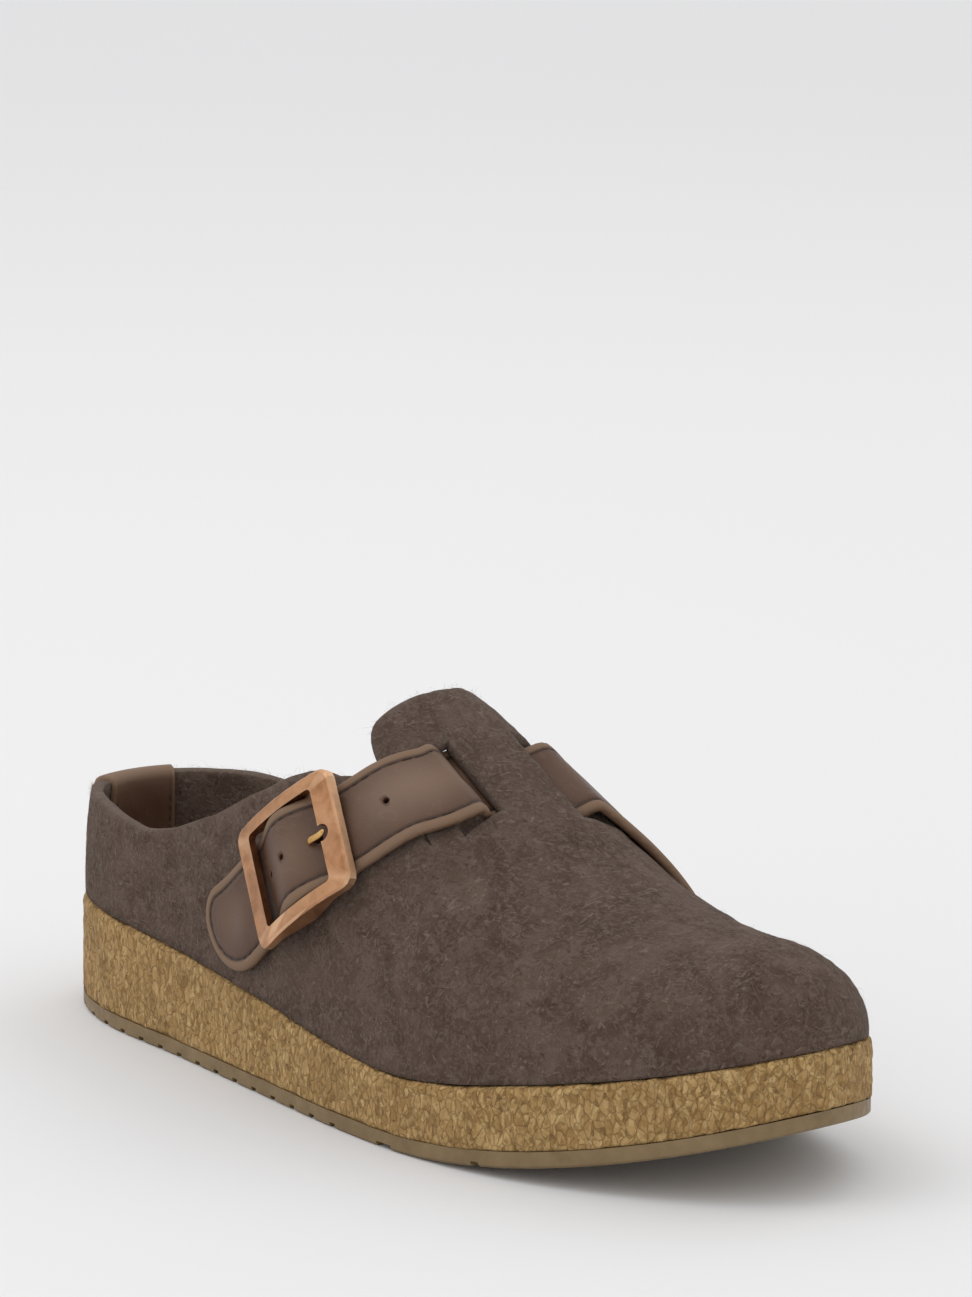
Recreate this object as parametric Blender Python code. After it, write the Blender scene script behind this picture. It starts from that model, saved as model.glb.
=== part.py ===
"""Felt clog slipper for the right foot, standing empty on its sole.

+X points to the toe, +Y to the inner side of the foot and +Z up, in metres. The origin lies on the
ground under the middle of the sole's length and of its ball width.

A place on the last is a pair (q, a). q runs from 0 at the heel to 1 at the toe, as an angle round the
outline. a runs from -1 at the outer edge of the sole, over the instep ridge at 0, to 1 at the inner edge.
"""

import math

import bmesh
import bpy
import numpy as np
from mathutils import Matrix, Vector, geometry

# The driving sizes of the last.
SHOE_LENGTH = 0.264
BALL_WIDTH = 0.094
HEEL_HEIGHT = 0.0301
INSTEP_RISE = 0.083
TOE_SPRING = 0.0177
TOE_SWING = 0.003
BALL_SHARE = 0.66

# Sole.
RUBBER_THICKNESS = 0.0041
SPRING_START = 0.62
HEEL_BEVEL_LENGTH = 0.009
HEEL_BEVEL_RISE = 0.0022
SOLE_EDGE_BEVEL = 0.0007
CORK_EDGE_ROUND = 0.0008
GROOVE_PITCH = 0.0092
GROOVE_WIDTH = 0.0022
GROOVE_DEPTH = 0.0013
FIRST_GROOVE = 0.016
LAST_GROOVE = 0.150
BALL_GAP_PLACE = 0.166
BALL_GAP_WIDTH = 0.0055
TOE_GROOVE_PLACE = 0.196

# Footbed.
FOOTBED_THICKNESS = 0.0045
FOOTBED_WALL = 0.0085
ARCH_SUPPORT = 0.0045
ARCH_SHARE = 0.42
ARCH_SPREAD = 0.13
HEEL_CUP_END = 0.6

# Felt.
FELT_WALL = 0.0035
FELT_INSET = 0.0008
SECTION_POWER = 2.1
BRIDGE_HALF_WIDTH = 0.010
SLOT_SPARE = 0.0040
SLOT_FLARE = 0.0064

# Strap and heel patch.
STRAP_WIDTH = 0.0245
STRAP_THICKNESS = 0.0026
STRAP_SLOPE = math.radians(48)
STRAP_END_ROUND = 0.009
TAB_UPPER_ROUND = 0.008
TAB_LOWER_ROUND = 0.016
PATCH_THICKNESS = 0.0013
PATCH_HALF_ANGLE = 0.072
PATCH_DROP = 0.013

# Buckle.
BAR_RADIUS = 0.0010
LOOP_THICKNESS = 0.0010
LOOP_WIDTH = 0.016
LOOP_TAIL = 0.0085
FRAME_LENGTH = 0.036
FRAME_BAR_WIDTH = 0.0052
FRAME_RAIL_WIDTH = 0.0031
FRAME_THICKNESS = 0.0025
FRAME_CORNER = 0.0030
FRAME_INNER_CORNER = 0.0012
FRAME_EDGE = 0.0005
PRONG_WIDTH = 0.0022
PRONG_THICKNESS = 0.0010
PRONG_KNEE = -0.0050
PRONG_BEND = -0.0085
PRONG_HOLE = (-0.0118, -0.0024)
NOTCH_RADIUS = 0.0022
BUCKLE_BEND = 0.070
BUCKLE_LIFT = 0.0015
CUTTER_HEIGHTS = (-0.002, 0.013)

# Clearances between pieces.
GAP = 0.0003
STRAP_GAP = 0.0004
RAIL_GAP = 0.0009

# share of length, outer half-width, inner half-width: shares of the ball width
OUTLINE = (
    (0.000, 0.000, 0.000),
    (0.030, 0.207, 0.202),
    (0.125, 0.340, 0.335),
    (0.270, 0.394, 0.351),
    (0.420, 0.457, 0.367),
    (0.550, 0.511, 0.426),
    (0.660, 0.532, 0.468),
    (0.760, 0.498, 0.463),
    (0.860, 0.399, 0.404),
    (0.940, 0.271, 0.298),
    (0.985, 0.136, 0.154),
    (1.000, 0.000, 0.000),
)

# share of length, cork thickness: share of the heel height
CORK = (
    (0.00, 0.864),
    (0.20, 0.804),
    (0.42, 0.648),
    (0.62, 0.472),
    (0.80, 0.518),
    (1.00, 0.465),
)

# share of length, rise of the instep ridge over the cork: share of the instep rise
RIDGE = (
    (0.000, 0.890),
    (0.150, 0.929),
    (0.300, 0.984),
    (0.400, 1.000),
    (0.460, 0.957),
    (0.520, 0.888),
    (0.580, 0.786),
    (0.640, 0.675),
    (0.700, 0.556),
    (0.780, 0.426),
    (0.860, 0.354),
    (0.920, 0.313),
    (0.955, 0.276),
)

# share of length, rise of the collar over the cork: share of the instep rise
COLLAR = (
    (0.000, 0.318),
    (0.100, 0.324),
    (0.160, 0.311),
    (0.190, 0.310),
    (0.210, 0.323),
    (0.240, 0.352),
    (0.266, 0.389),
    (0.307, 0.448),
    (0.345, 0.518),
    (0.380, 0.587),
    (0.422, 0.666),
    (0.446, 0.697),
    (0.464, 0.706),
)

# share of length, place across the last: from the quarter's top corner to the cut's tip, outer side
CUT_BACK = ((0.4755, 0.470), (0.4815, 0.458), (0.4870, 0.448), (0.5400, 0.426), (0.6000, 0.404))
CUT_FRONT = ((0.6045, 0.397), (0.5980, 0.390), (0.5500, 0.372), (0.5060, 0.352))

# side: share of length where the strap's slot starts, where the strap crosses it and where it ends
SLOTS = {-1: (0.534, 0.5815, 0.629), 1: (0.549, 0.603, 0.6545)}

# share of length, place across the last: the tongue's end, from its side to the middle
TONGUE = (
    (0.4930, 0.334),
    (0.4850, 0.313),
    (0.4810, 0.285),
    (0.4812, 0.240),
    (0.4838, 0.165),
    (0.4865, 0.085),
    (0.4885, 0.000),
)

# share of length, place across the last: the strap's middle, from the inner end to the free end
STRAP_INNER = ((0.656, 0.870), (0.650, 0.720), (0.634, 0.550))
STRAP_OUTER = (
    (0.567, -0.300),
    (0.5455, -0.420),
    (0.528, -0.517),
    (0.501, -0.609),
    (0.4746, -0.685),
    (0.448, -0.7485),
    (0.4216, -0.806),
    (0.390, -0.874),
    (0.341, -0.944),
)
BUCKLE_ROW = 4

# Ends of the heel and toe stretches where the ridge is shorter than the sole, and by how much.
HEEL_FAN = (0.14, 0.35)
TOE_FAN = (0.80, 0.55)

# Mesh sizes.
FELT_STEP = 0.0072
RING_STATIONS = 44
STEP = 1e-4


def curve(rows, column, warp=lambda share: share):
    """A smooth curve through one column of a table, over its first column."""
    xs = np.array([warp(row[0]) for row in rows])
    ys = np.array([row[column] for row in rows])
    slope = np.diff(ys) / np.diff(xs)
    width = np.diff(xs)
    middle = (slope[:-1] * width[1:] + slope[1:] * width[:-1]) / (xs[2:] - xs[:-2])
    first = 1.5 * slope[0] - 0.5 * middle[0]
    last = 1.5 * slope[-1] - 0.5 * middle[-1]
    tangent = np.concatenate([[first], middle, [last]])

    def value(x):
        x = min(max(x, xs[0]), xs[-1])
        i = min(int(np.searchsorted(xs, x, side="right")) - 1, len(xs) - 2)
        h = xs[i + 1] - xs[i]
        t = (x - xs[i]) / h
        start = (2 * t**3 - 3 * t**2 + 1) * ys[i] + (t**3 - 2 * t**2 + t) * h * tangent[i]
        end = (3 * t**2 - 2 * t**3) * ys[i + 1] + (t**3 - t**2) * h * tangent[i + 1]
        return float(start + end)

    return value


def station(share):
    """The angle q of a share of the length."""
    return math.acos(1 - 2 * min(max(share, 0.0), 1.0)) / math.pi


def share_at(q):
    return (1 - math.cos(math.pi * q)) / 2


half_width = {-1: curve(OUTLINE, 1, station), 1: curve(OUTLINE, 2, station)}
cork_share = curve(CORK, 1)
ridge_share = curve(RIDGE, 1)
collar_share = curve(COLLAR, 1)
HALF_BALL = BALL_WIDTH / 2


def centre_line(share):
    """Sideways place of the last's middle, which swings inward at the toe."""
    return TOE_SWING * share**2


BALL_MIDDLE = (half_width[1](station(BALL_SHARE)) - half_width[-1](station(BALL_SHARE))) * HALF_BALL
BALL_MIDDLE += centre_line(BALL_SHARE)


def ground_line(share):
    """Height of the sole's underside: bevelled at the heel and sprung at the toe."""
    heel = max(0.0, 1 - share * SHOE_LENGTH / HEEL_BEVEL_LENGTH)
    toe = max(0.0, (share - SPRING_START) / (1 - SPRING_START))
    return HEEL_BEVEL_RISE * heel + TOE_SPRING * toe**2


def rubber_top(share):
    toe = max(0.0, (share - SPRING_START) / (1 - SPRING_START))
    return RUBBER_THICKNESS + TOE_SPRING * toe**2


def cork_bottom(share):
    return rubber_top(share) + GAP


def cork_top(share):
    return rubber_top(share) + cork_share(share) * HEEL_HEIGHT


def felt_bottom(share):
    return cork_top(share) + GAP


def ridge_rise(share):
    return ridge_share(share) * INSTEP_RISE


def ridge_station(share):
    """Share of the length where the ridge carries the section that starts at this share of the sole."""
    toe_start, toe_rate = TOE_FAN
    heel_end, heel_rate = HEEL_FAN
    if share > toe_start:
        run = share - toe_start
        return toe_start + run * (1 - (1 - toe_rate) * run / (1 - toe_start))
    if share < heel_end:
        run = heel_end - share
        return heel_end - run * (1 - (1 - heel_rate) * run / heel_end)
    return share


def outline_raw(q, side):
    share = share_at(q)
    width = half_width[side](station(share)) * BALL_WIDTH
    x = (share - 0.5) * SHOE_LENGTH
    y = centre_line(share) + side * width - BALL_MIDDLE
    return np.array([x, y])


def outline(q, side, inset=0.0):
    """A point of the sole's outline, moved inward by the inset."""
    if q < 0 or q > 1:
        q, side = (-q, -side) if q < 0 else (2 - q, -side)
    point = outline_raw(q, side)
    if not inset:
        return point
    before = outline_raw(q - STEP, side) if q >= STEP else outline_raw(STEP - q, -side)
    after = outline_raw(q + STEP, side) if q <= 1 - STEP else outline_raw(2 - q - STEP, -side)
    run = after - before
    inward = np.array([run[1], -run[0]]) * side
    return point + inward / np.linalg.norm(inward) * inset


def last_point(q, a):
    """A point of the felt's outer face."""
    if q < 0:
        q, a = -q, -a
    if q > 1:
        q, a = 2 - q, -a
    side = 1 if a > 0 else -1
    girth = math.pi / 2 * (1 - min(abs(a), 1.0))
    share = share_at(q)
    foot = outline(q, side, FELT_INSET)
    top_share = ridge_station(share)
    top = np.array([(top_share - 0.5) * SHOE_LENGTH, centre_line(top_share) - BALL_MIDDLE])
    run = 1 - max(math.cos(girth), 0.0) ** (2 / SECTION_POWER)
    rise = max(math.sin(girth), 0.0) ** (2 / SECTION_POWER)
    low = felt_bottom(share)
    high = cork_top(top_share) + ridge_rise(top_share)
    return np.array([*(foot + (top - foot) * run), low + (high - low) * rise])


def last_normal(q, a):
    """The outward direction of the felt's outer face."""
    step = 1e-3
    q = min(max(q, 1e-3), 1 - 1e-3)
    a = min(max(a, step - 1), 1 - step)
    along = last_point(q + step, a) - last_point(q - step, a)
    across = last_point(q, a + step) - last_point(q, a - step)
    normal = np.cross(along, across)
    return normal / np.linalg.norm(normal)


def across_at_rise(share, rise, side):
    """Place across the last where its outer face is this high over the cork."""
    sine = min(rise / ridge_rise(share), 1.0) ** (SECTION_POWER / 2)
    return side * (1 - math.asin(sine) / (math.pi / 2))


def across_at_offset(share, offset, side):
    """Place across the last where its outer face is this far sideways of the ridge."""
    width = half_width[side](station(share)) * BALL_WIDTH - FELT_INSET
    cosine = min(offset / width, 1.0) ** (SECTION_POWER / 2)
    return side * (1 - math.acos(cosine) / (math.pi / 2))


def on_last(point, q, a):
    """The place (q, a) of the outer face nearest to a point, from a near guess."""
    step = 1e-4
    for _ in range(6):
        here = last_point(q, a)
        along = (last_point(q + step, a) - here) / step
        across = (last_point(q, a + step) - here) / step
        system = np.stack([along, across], axis=1)
        move = np.linalg.lstsq(system, point - here, rcond=None)[0]
        q += float(move[0])
        a += float(move[1])
    return q, a


def material(name, colour, roughness, metallic=0.0):
    made = bpy.data.materials.new(name)
    made.use_nodes = True
    shader = made.node_tree.nodes["Principled BSDF"]
    shader.inputs["Base Color"].default_value = (*colour, 1.0)
    shader.inputs["Roughness"].default_value = roughness
    shader.inputs["Metallic"].default_value = metallic
    return made


def finish(name, bm, surface, sharp=40.0):
    """Turns a bmesh into a named object with its material."""
    bmesh.ops.remove_doubles(bm, verts=bm.verts, dist=1e-6)
    bmesh.ops.dissolve_degenerate(bm, edges=bm.edges, dist=1e-6)
    bmesh.ops.recalc_face_normals(bm, faces=bm.faces)
    mesh = bpy.data.meshes.new(name)
    bm.to_mesh(mesh)
    bm.free()
    mesh.shade_smooth()
    mesh.set_sharp_from_angle(angle=math.radians(sharp))
    obj = bpy.data.objects.new(name, mesh)
    bpy.context.scene.collection.objects.link(obj)
    if surface:
        mesh.materials.append(surface)
    return obj


def helper(name, bm):
    """A cutter, left out of the model itself."""
    obj = finish(name, bm, None)
    obj.hide_render = True
    obj.display_type = "WIRE"
    return obj


def cut(obj, cutter, operation="DIFFERENCE"):
    modifier = obj.modifiers.new(cutter.name, "BOOLEAN")
    modifier.operation = operation
    modifier.solver = "EXACT"
    modifier.object = cutter


def loft(bm, rings, closed_ring=True):
    """Quads between rings of equal length."""
    count = len(rings[0])
    last = count if closed_ring else count - 1
    for low, high in zip(rings[:-1], rings[1:]):
        for i in range(last):
            j = (i + 1) % count
            bm.faces.new((low[i], low[j], high[j], high[i]))


def sole_ring(bm, inset, height):
    """A ring round the sole: outer side from heel to toe, then inner side back."""
    ring = []
    count = RING_STATIONS
    walk = [(i / count, -1) for i in range(count)] + [(1 - i / count, 1) for i in range(count)]
    for q, side in walk:
        place = outline(q, side, inset)
        ring.append(bm.verts.new((*place, height(share_at(q)))))
    return ring


def close_ring(bm, ring, flip=False):
    """Closes a sole ring with one strip across the foot for each station."""
    count = len(ring)
    for i in range(count // 2):
        corners = [ring[i], ring[i + 1], ring[-(i + 1)], ring[-i] if i else ring[0]]
        corners = list(dict.fromkeys(corners))
        if len(corners) > 2:
            bm.faces.new(corners[::-1] if flip else corners)


def tread_grooves():
    """Cutters for the gaps between the sole's lugs, which also notch its lower edge."""
    bm = bmesh.new()
    count = int((LAST_GROOVE - FIRST_GROOVE) / GROOVE_PITCH) + 1
    places = [(FIRST_GROOVE + i * GROOVE_PITCH, GROOVE_WIDTH) for i in range(count)]
    places += [(BALL_GAP_PLACE, BALL_GAP_WIDTH), (TOE_GROOVE_PLACE, GROOVE_WIDTH)]
    for distance, width in places:
        ground = ground_line(distance / SHOE_LENGTH)
        middle = Vector((distance - SHOE_LENGTH / 2, 0, ground))
        size = (width, BALL_WIDTH * 1.4, GROOVE_DEPTH * 2)
        matrix = Matrix.Translation(middle) @ Matrix.Diagonal((*size, 1))
        bmesh.ops.create_cube(bm, size=1, matrix=matrix)
    return helper("tread_cutter", bm)


def build_outsole(rubber):
    bm = bmesh.new()
    rings = [
        sole_ring(bm, SOLE_EDGE_BEVEL, ground_line),
        sole_ring(bm, 0.0, lambda share: ground_line(share) + SOLE_EDGE_BEVEL),
        sole_ring(bm, 0.0, rubber_top),
    ]
    loft(bm, rings)
    close_ring(bm, rings[0], flip=True)
    close_ring(bm, rings[-1])
    outsole = finish("outsole", bm, rubber)
    cut(outsole, tread_grooves())
    return outsole


def build_midsole(cork):
    bm = bmesh.new()
    rings = [
        sole_ring(bm, 0.0, cork_bottom),
        sole_ring(bm, 0.0, lambda share: cork_top(share) - CORK_EDGE_ROUND),
        sole_ring(bm, CORK_EDGE_ROUND, cork_top),
    ]
    loft(bm, rings)
    close_ring(bm, rings[0], flip=True)
    close_ring(bm, rings[-1])
    return finish("midsole", bm, cork)


def inside_felt(q, side, rise):
    """A point one gap inside the felt's inner face, this high over the cork."""
    share = share_at(q)
    a = across_at_rise(ridge_station(share), rise, side)
    return last_point(q, a) - last_normal(q, a) * (FELT_WALL + GAP)


def build_footbed(suede):
    """The cupped footbed, which fills the felt's inside."""
    bm = bmesh.new()
    columns = 8
    count = RING_STATIONS
    low_rows = []
    top_rows = []
    for i in range(count + 1):
        q = i / count
        share = share_at(q)
        heel = max(0.0, 1 - share / HEEL_CUP_END)
        wall = FOOTBED_THICKNESS + (FOOTBED_WALL - FOOTBED_THICKNESS) * heel
        edges = [inside_felt(q, side, wall) for side in (-1, 1)]
        if i in (0, count):
            edges = [(edges[0] + edges[1]) / 2] * 2
        feet = [outline(q, side, FELT_INSET + FELT_WALL + GAP) for side in (-1, 1)]
        floor = felt_bottom(share)
        low_rows.append([bm.verts.new((*foot, floor)) for foot in feet])
        row = []
        span = float(np.linalg.norm(edges[1] - edges[0]))
        for j in range(columns + 1):
            t = j / columns
            point = edges[0] * (1 - t) + edges[1] * t
            cup = (1 - (2 * t - 1) ** 4) * smooth_step(span / HALF_BALL)
            arch = math.exp(-(((share - ARCH_SHARE) / ARCH_SPREAD) ** 2)) * max(0.0, 2 * t - 1) ** 1.5
            rim = (edges[0][2] + edges[1][2]) / 2 - floor
            height = rim + (FOOTBED_THICKNESS - rim) * cup + ARCH_SUPPORT * arch * cup
            row.append(bm.verts.new((point[0], point[1], floor + height)))
        top_rows.append(row)
    for i in range(count):
        a_row, b_row = top_rows[i], top_rows[i + 1]
        for j in range(columns):
            bm.faces.new((a_row[j], b_row[j], b_row[j + 1], a_row[j + 1]))
        a_low, b_low = low_rows[i], low_rows[i + 1]
        bm.faces.new((a_low[0], a_low[1], b_low[1], b_low[0]))
        bm.faces.new((a_low[0], b_low[0], b_row[0], a_row[0]))
        bm.faces.new((a_low[1], a_row[-1], b_row[-1], b_low[1]))
    return finish("insole", bm, suede)


def slot_width():
    """Room for the strap to slope through the felt's wall, with a gap on both sides."""
    run = STRAP_THICKNESS / math.sin(STRAP_SLOPE) + FELT_WALL / math.tan(STRAP_SLOPE)
    return run + 3 * STRAP_GAP + SLOT_SPARE


def collar_line(side):
    """The collar's edge on one side, from the heel to the quarter's top, as (q, a)."""
    last_share = COLLAR[-1][0]
    count = 17
    line = []
    for i in range(count + 1):
        share = share_at(station(last_share) * i / count)
        rise = collar_share(share) * INSTEP_RISE
        line.append((station(share), across_at_rise(ridge_station(share), rise, side)))
    return line


def opening_line(side):
    """The felt's edge on one side, from the heel over the quarter, the cut and the tongue's end."""
    line = collar_line(side)
    for share, a in CUT_BACK + CUT_FRONT + TONGUE:
        line.append((station(share), side * a))
    return line


def slot_loop(side):
    """The slot that the strap passes through, flared at the edge where the strap turns away."""
    inner = BRIDGE_HALF_WIDTH
    outer = BRIDGE_HALF_WIDTH + slot_width()
    loop = []
    count = 4
    start, _, end = SLOTS[side]
    shares = [start + (end - start) * i / count for i in range(count + 1)]
    for share in shares:
        loop.append((station(share), across_at_offset(share, inner, side)))
    for i, share in enumerate(shares[::-1]):
        turn = i / count if side > 0 else 1 - i / count
        loop.append((station(share), across_at_offset(share, outer + SLOT_FLARE * turn, side)))
    return loop


def pattern_scale():
    """Lengths that turn (q, a) into roughly even distances on the felt."""
    return SHOE_LENGTH * 1.12, INSTEP_RISE * 1.02


def inside_loop(point, loop):
    """True where a point lies inside a closed loop, by counting crossings."""
    x, y = point
    inside = False
    for (x0, y0), (x1, y1) in zip(loop, loop[1:] + loop[:1]):
        if (y0 > y) != (y1 > y) and x < (x1 - x0) * (y - y0) / (y1 - y0) + x0:
            inside = not inside
    return inside


def felt_outline():
    """The felt's flat pattern as one loop, from the outer heel edge round to the inner heel edge."""
    sole_count = 40
    seam_count = 9
    outer = opening_line(-1)
    inner = opening_line(1)
    heel_outer, heel_inner = outer[0][1], inner[0][1]
    loop = [(i / sole_count, -1.0) for i in range(sole_count)]
    loop += [(1.0, -1 + 2 * i / (2 * seam_count)) for i in range(2 * seam_count)]
    loop += [(1 - i / sole_count, 1.0) for i in range(sole_count)]
    heel_steps = 4
    loop += [(0.0, 1 + (heel_inner - 1) * i / heel_steps) for i in range(heel_steps)]
    loop += inner
    loop += outer[-2::-1]
    loop += [(0.0, heel_outer + (-1 - heel_outer) * i / heel_steps) for i in range(1, heel_steps)]
    return loop


def build_upper(felt):
    """The felt in one piece round the heel: an outer face from its flat pattern, and a wall inward."""
    wide, high = pattern_scale()
    boundary = felt_outline()
    loops = [boundary, slot_loop(-1), slot_loop(1)]
    flat = [[(q * wide, a * high) for q, a in loop] for loop in loops]
    points = [Vector(p) for loop in flat for p in loop]
    edges = []
    start = 0
    for loop in flat:
        count = len(loop)
        edges += [(start + i, start + (i + 1) % count) for i in range(count)]
        start += count
    fixed = len(points)
    border = np.array([tuple(p) for p in points])
    rows = int(2 * high / (FELT_STEP * 0.866))
    for r in range(1, rows):
        y = -high + 2 * high * r / rows
        columns = int(wide / FELT_STEP)
        for c in range(columns + 1):
            x = wide * (c + (0.5 if r % 2 else 0.0)) / columns
            if np.min(np.hypot(*(border - (x, y)).T)) < FELT_STEP * 0.55:
                continue
            if inside_loop((x, y), flat[0]) and not any(inside_loop((x, y), s) for s in flat[1:]):
                points.append(Vector((x, y)))
    result = geometry.delaunay_2d_cdt(points, edges, [], 0, 1e-7)
    bm = bmesh.new()
    verts = [bm.verts.new(last_point(p.x / wide, p.y / high)) for p in result[0]]
    for face in result[2]:
        middle = sum((result[0][i] for i in face), Vector((0, 0))) / len(face)
        if inside_loop(middle, flat[0]) and not any(inside_loop(middle, s) for s in flat[1:]):
            bm.faces.new([verts[i] for i in face])
    bmesh.ops.delete(bm, geom=[v for v in bm.verts if not v.link_faces], context="VERTS")
    bmesh.ops.remove_doubles(bm, verts=bm.verts, dist=1e-6)
    bmesh.ops.dissolve_degenerate(bm, edges=bm.edges, dist=1e-6)
    add_wall(bm, FELT_WALL)
    return finish("upper", bm, felt)


def add_wall(bm, wall):
    """Gives an open sheet a wall on its inner side and closes it along its edges."""
    bmesh.ops.recalc_face_normals(bm, faces=bm.faces)
    bm.normal_update()
    outward = sum(face.normal.z * face.calc_area() for face in bm.faces)
    if outward < 0:
        bmesh.ops.reverse_faces(bm, faces=bm.faces)
        bm.normal_update()
    faces = list(bm.faces)
    rim = [edge for edge in bm.edges if edge.is_boundary]
    inner = {}
    for vert in list(bm.verts):
        normal = vert.normal.copy()
        share = vert.co.x / SHOE_LENGTH + 0.5
        if vert.is_boundary and vert.co.z < felt_bottom(share) + GAP:
            normal.z = 0
            normal.normalize()
        inner[vert] = bm.verts.new(vert.co - normal * wall)
    for face in faces:
        bm.faces.new([inner[vert] for vert in reversed(face.verts)])
    for edge in rim:
        a, b = edge.verts
        bm.faces.new((a, b, inner[b], inner[a]))


def build_patch(leather):
    """The leather patch inside the heel, folded over the collar and down its outside."""
    bm = bmesh.new()
    rings = []
    stations = 10
    t = PATCH_THICKNESS
    for i in range(stations + 1):
        w = -1 + 2 * i / stations
        q = abs(w) * PATCH_HALF_ANGLE
        side = -1 if w < 0 else 1
        share = share_at(q)
        top = collar_share(share) * INSTEP_RISE
        near, far = -FELT_WALL - GAP, GAP
        start = FOOTBED_WALL + 2 * GAP
        end = top - PATCH_DROP
        profile = [
            (near, start),
            (near, top + GAP),
            (far, top + GAP),
            (far, end),
            (far + t, end),
            (far + t, top + GAP),
            (far, top + GAP + t),
            (near, top + GAP + t),
            (near - t, top + GAP),
            (near - t, start),
        ]
        ring = []
        for level, rise in profile:
            a = across_at_rise(ridge_station(share), rise, side)
            place = last_point(q, a) + last_normal(q, a) * level
            ring.append(bm.verts.new(place))
        rings.append(ring)
    loft(bm, rings)
    bm.faces.new(rings[0][::-1])
    bm.faces.new(rings[-1])
    return finish("heel_patch", bm, leather)


def strap_route():
    """Rows (q, a, level over the felt) along the strap's middle, from its inner end to its free end."""
    outside = STRAP_GAP + STRAP_THICKNESS / 2
    inside = -FELT_WALL - STRAP_GAP - STRAP_THICKNESS / 2
    middle = BRIDGE_HALF_WIDTH + (slot_width() + SLOT_SPARE / 2) / 2
    climb = (outside + FELT_WALL / 2) / math.tan(STRAP_SLOPE)
    dip = (-inside - FELT_WALL / 2) / math.tan(STRAP_SLOPE)
    crossing = {side: SLOTS[side][1] for side in (-1, 1)}
    rows = [(station(s), a, outside) for s, a in STRAP_INNER]
    for offset, level in ((middle + climb, outside), (middle - dip, inside)):
        share = crossing[1]
        rows.append((station(share), across_at_offset(share, offset, 1), level))
    rows.append((station((crossing[-1] + crossing[1]) / 2), 0.0, inside))
    for offset, level in ((middle - dip, inside), (middle + climb, outside)):
        share = crossing[-1]
        rows.append((station(share), across_at_offset(share, offset, -1), level))
    rows += [(station(s), a, outside) for s, a in STRAP_OUTER]
    return rows


def smooth_step(t):
    t = min(max(t, 0.0), 1.0)
    return t * t * (3 - 2 * t)


class Strap:
    """The strap's middle line on the last, read by distance from its inner end."""

    def __init__(self):
        rows = strap_route()
        keys = [0.0]
        for (q0, a0, _), (q1, a1, _) in zip(rows[:-1], rows[1:]):
            keys.append(keys[-1] + float(np.linalg.norm(last_point(q1, a1) - last_point(q0, a0))))
        self.keys = keys
        self.q_of = curve([(k, row[0]) for k, row in zip(keys, rows)], 1)
        self.a_of = curve([(k, row[1]) for k, row in zip(keys, rows)], 1)
        self.rows = rows
        self.length = keys[-1]
        self.buckle = keys[len(rows) - len(STRAP_OUTER) + BUCKLE_ROW]

    def level(self, s):
        """Height of the strap's middle over the felt's outer face."""
        for i in range(len(self.keys) - 1):
            if s <= self.keys[i + 1] or i == len(self.keys) - 2:
                t = (s - self.keys[i]) / (self.keys[i + 1] - self.keys[i])
                t = min(max(t, 0.0), 1.0)
                base = self.rows[i][2] + (self.rows[i + 1][2] - self.rows[i][2]) * t
                break
        reach = abs(s - self.buckle) / (FRAME_LENGTH / 2 - FRAME_BAR_WIDTH * 0.7)
        return base + BUCKLE_RISE * (1 - smooth_step(reach))

    def frame(self, s):
        """Middle point on the felt, direction along, direction across and normal."""
        q, a = self.q_of(s), self.a_of(s)
        point = last_point(q, a)
        step = 1e-3
        ahead = last_point(self.q_of(s + step), self.a_of(s + step))
        behind = last_point(self.q_of(s - step), self.a_of(s - step))
        normal = last_normal(q, a)
        along = ahead - behind
        along -= normal * float(along @ normal)
        along /= np.linalg.norm(along)
        return point, along, np.cross(normal, along), normal, q, a

    def place(self, s, offset, level):
        """A point beside the middle line, at a height over the felt's outer face."""
        point, _, across, _, q, a = self.frame(s)
        q, a = on_last(point + across * offset, q, a)
        return last_point(q, a) + last_normal(q, a) * level


BAR_HEIGHT = STRAP_GAP + LOOP_THICKNESS + GAP + BAR_RADIUS
RING_RADIUS = BAR_RADIUS + GAP + LOOP_THICKNESS
BUCKLE_RISE = BAR_HEIGHT + RING_RADIUS + 2 * GAP - STRAP_GAP


def corner(end, radius):
    """Half the strap's width this far from an end with round corners."""
    short = max(radius - end, 0.0)
    return STRAP_WIDTH / 2 - radius + math.sqrt(max(radius**2 - short**2, 0.0))


def strap_edges(s, length):
    """The strap's edges beside its middle line, where the free end's lower corner is the rounder one."""
    start = corner(s, STRAP_END_ROUND)
    rest = length - s
    return -min(start, corner(rest, TAB_UPPER_ROUND)), min(start, corner(rest, TAB_LOWER_ROUND))


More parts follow.
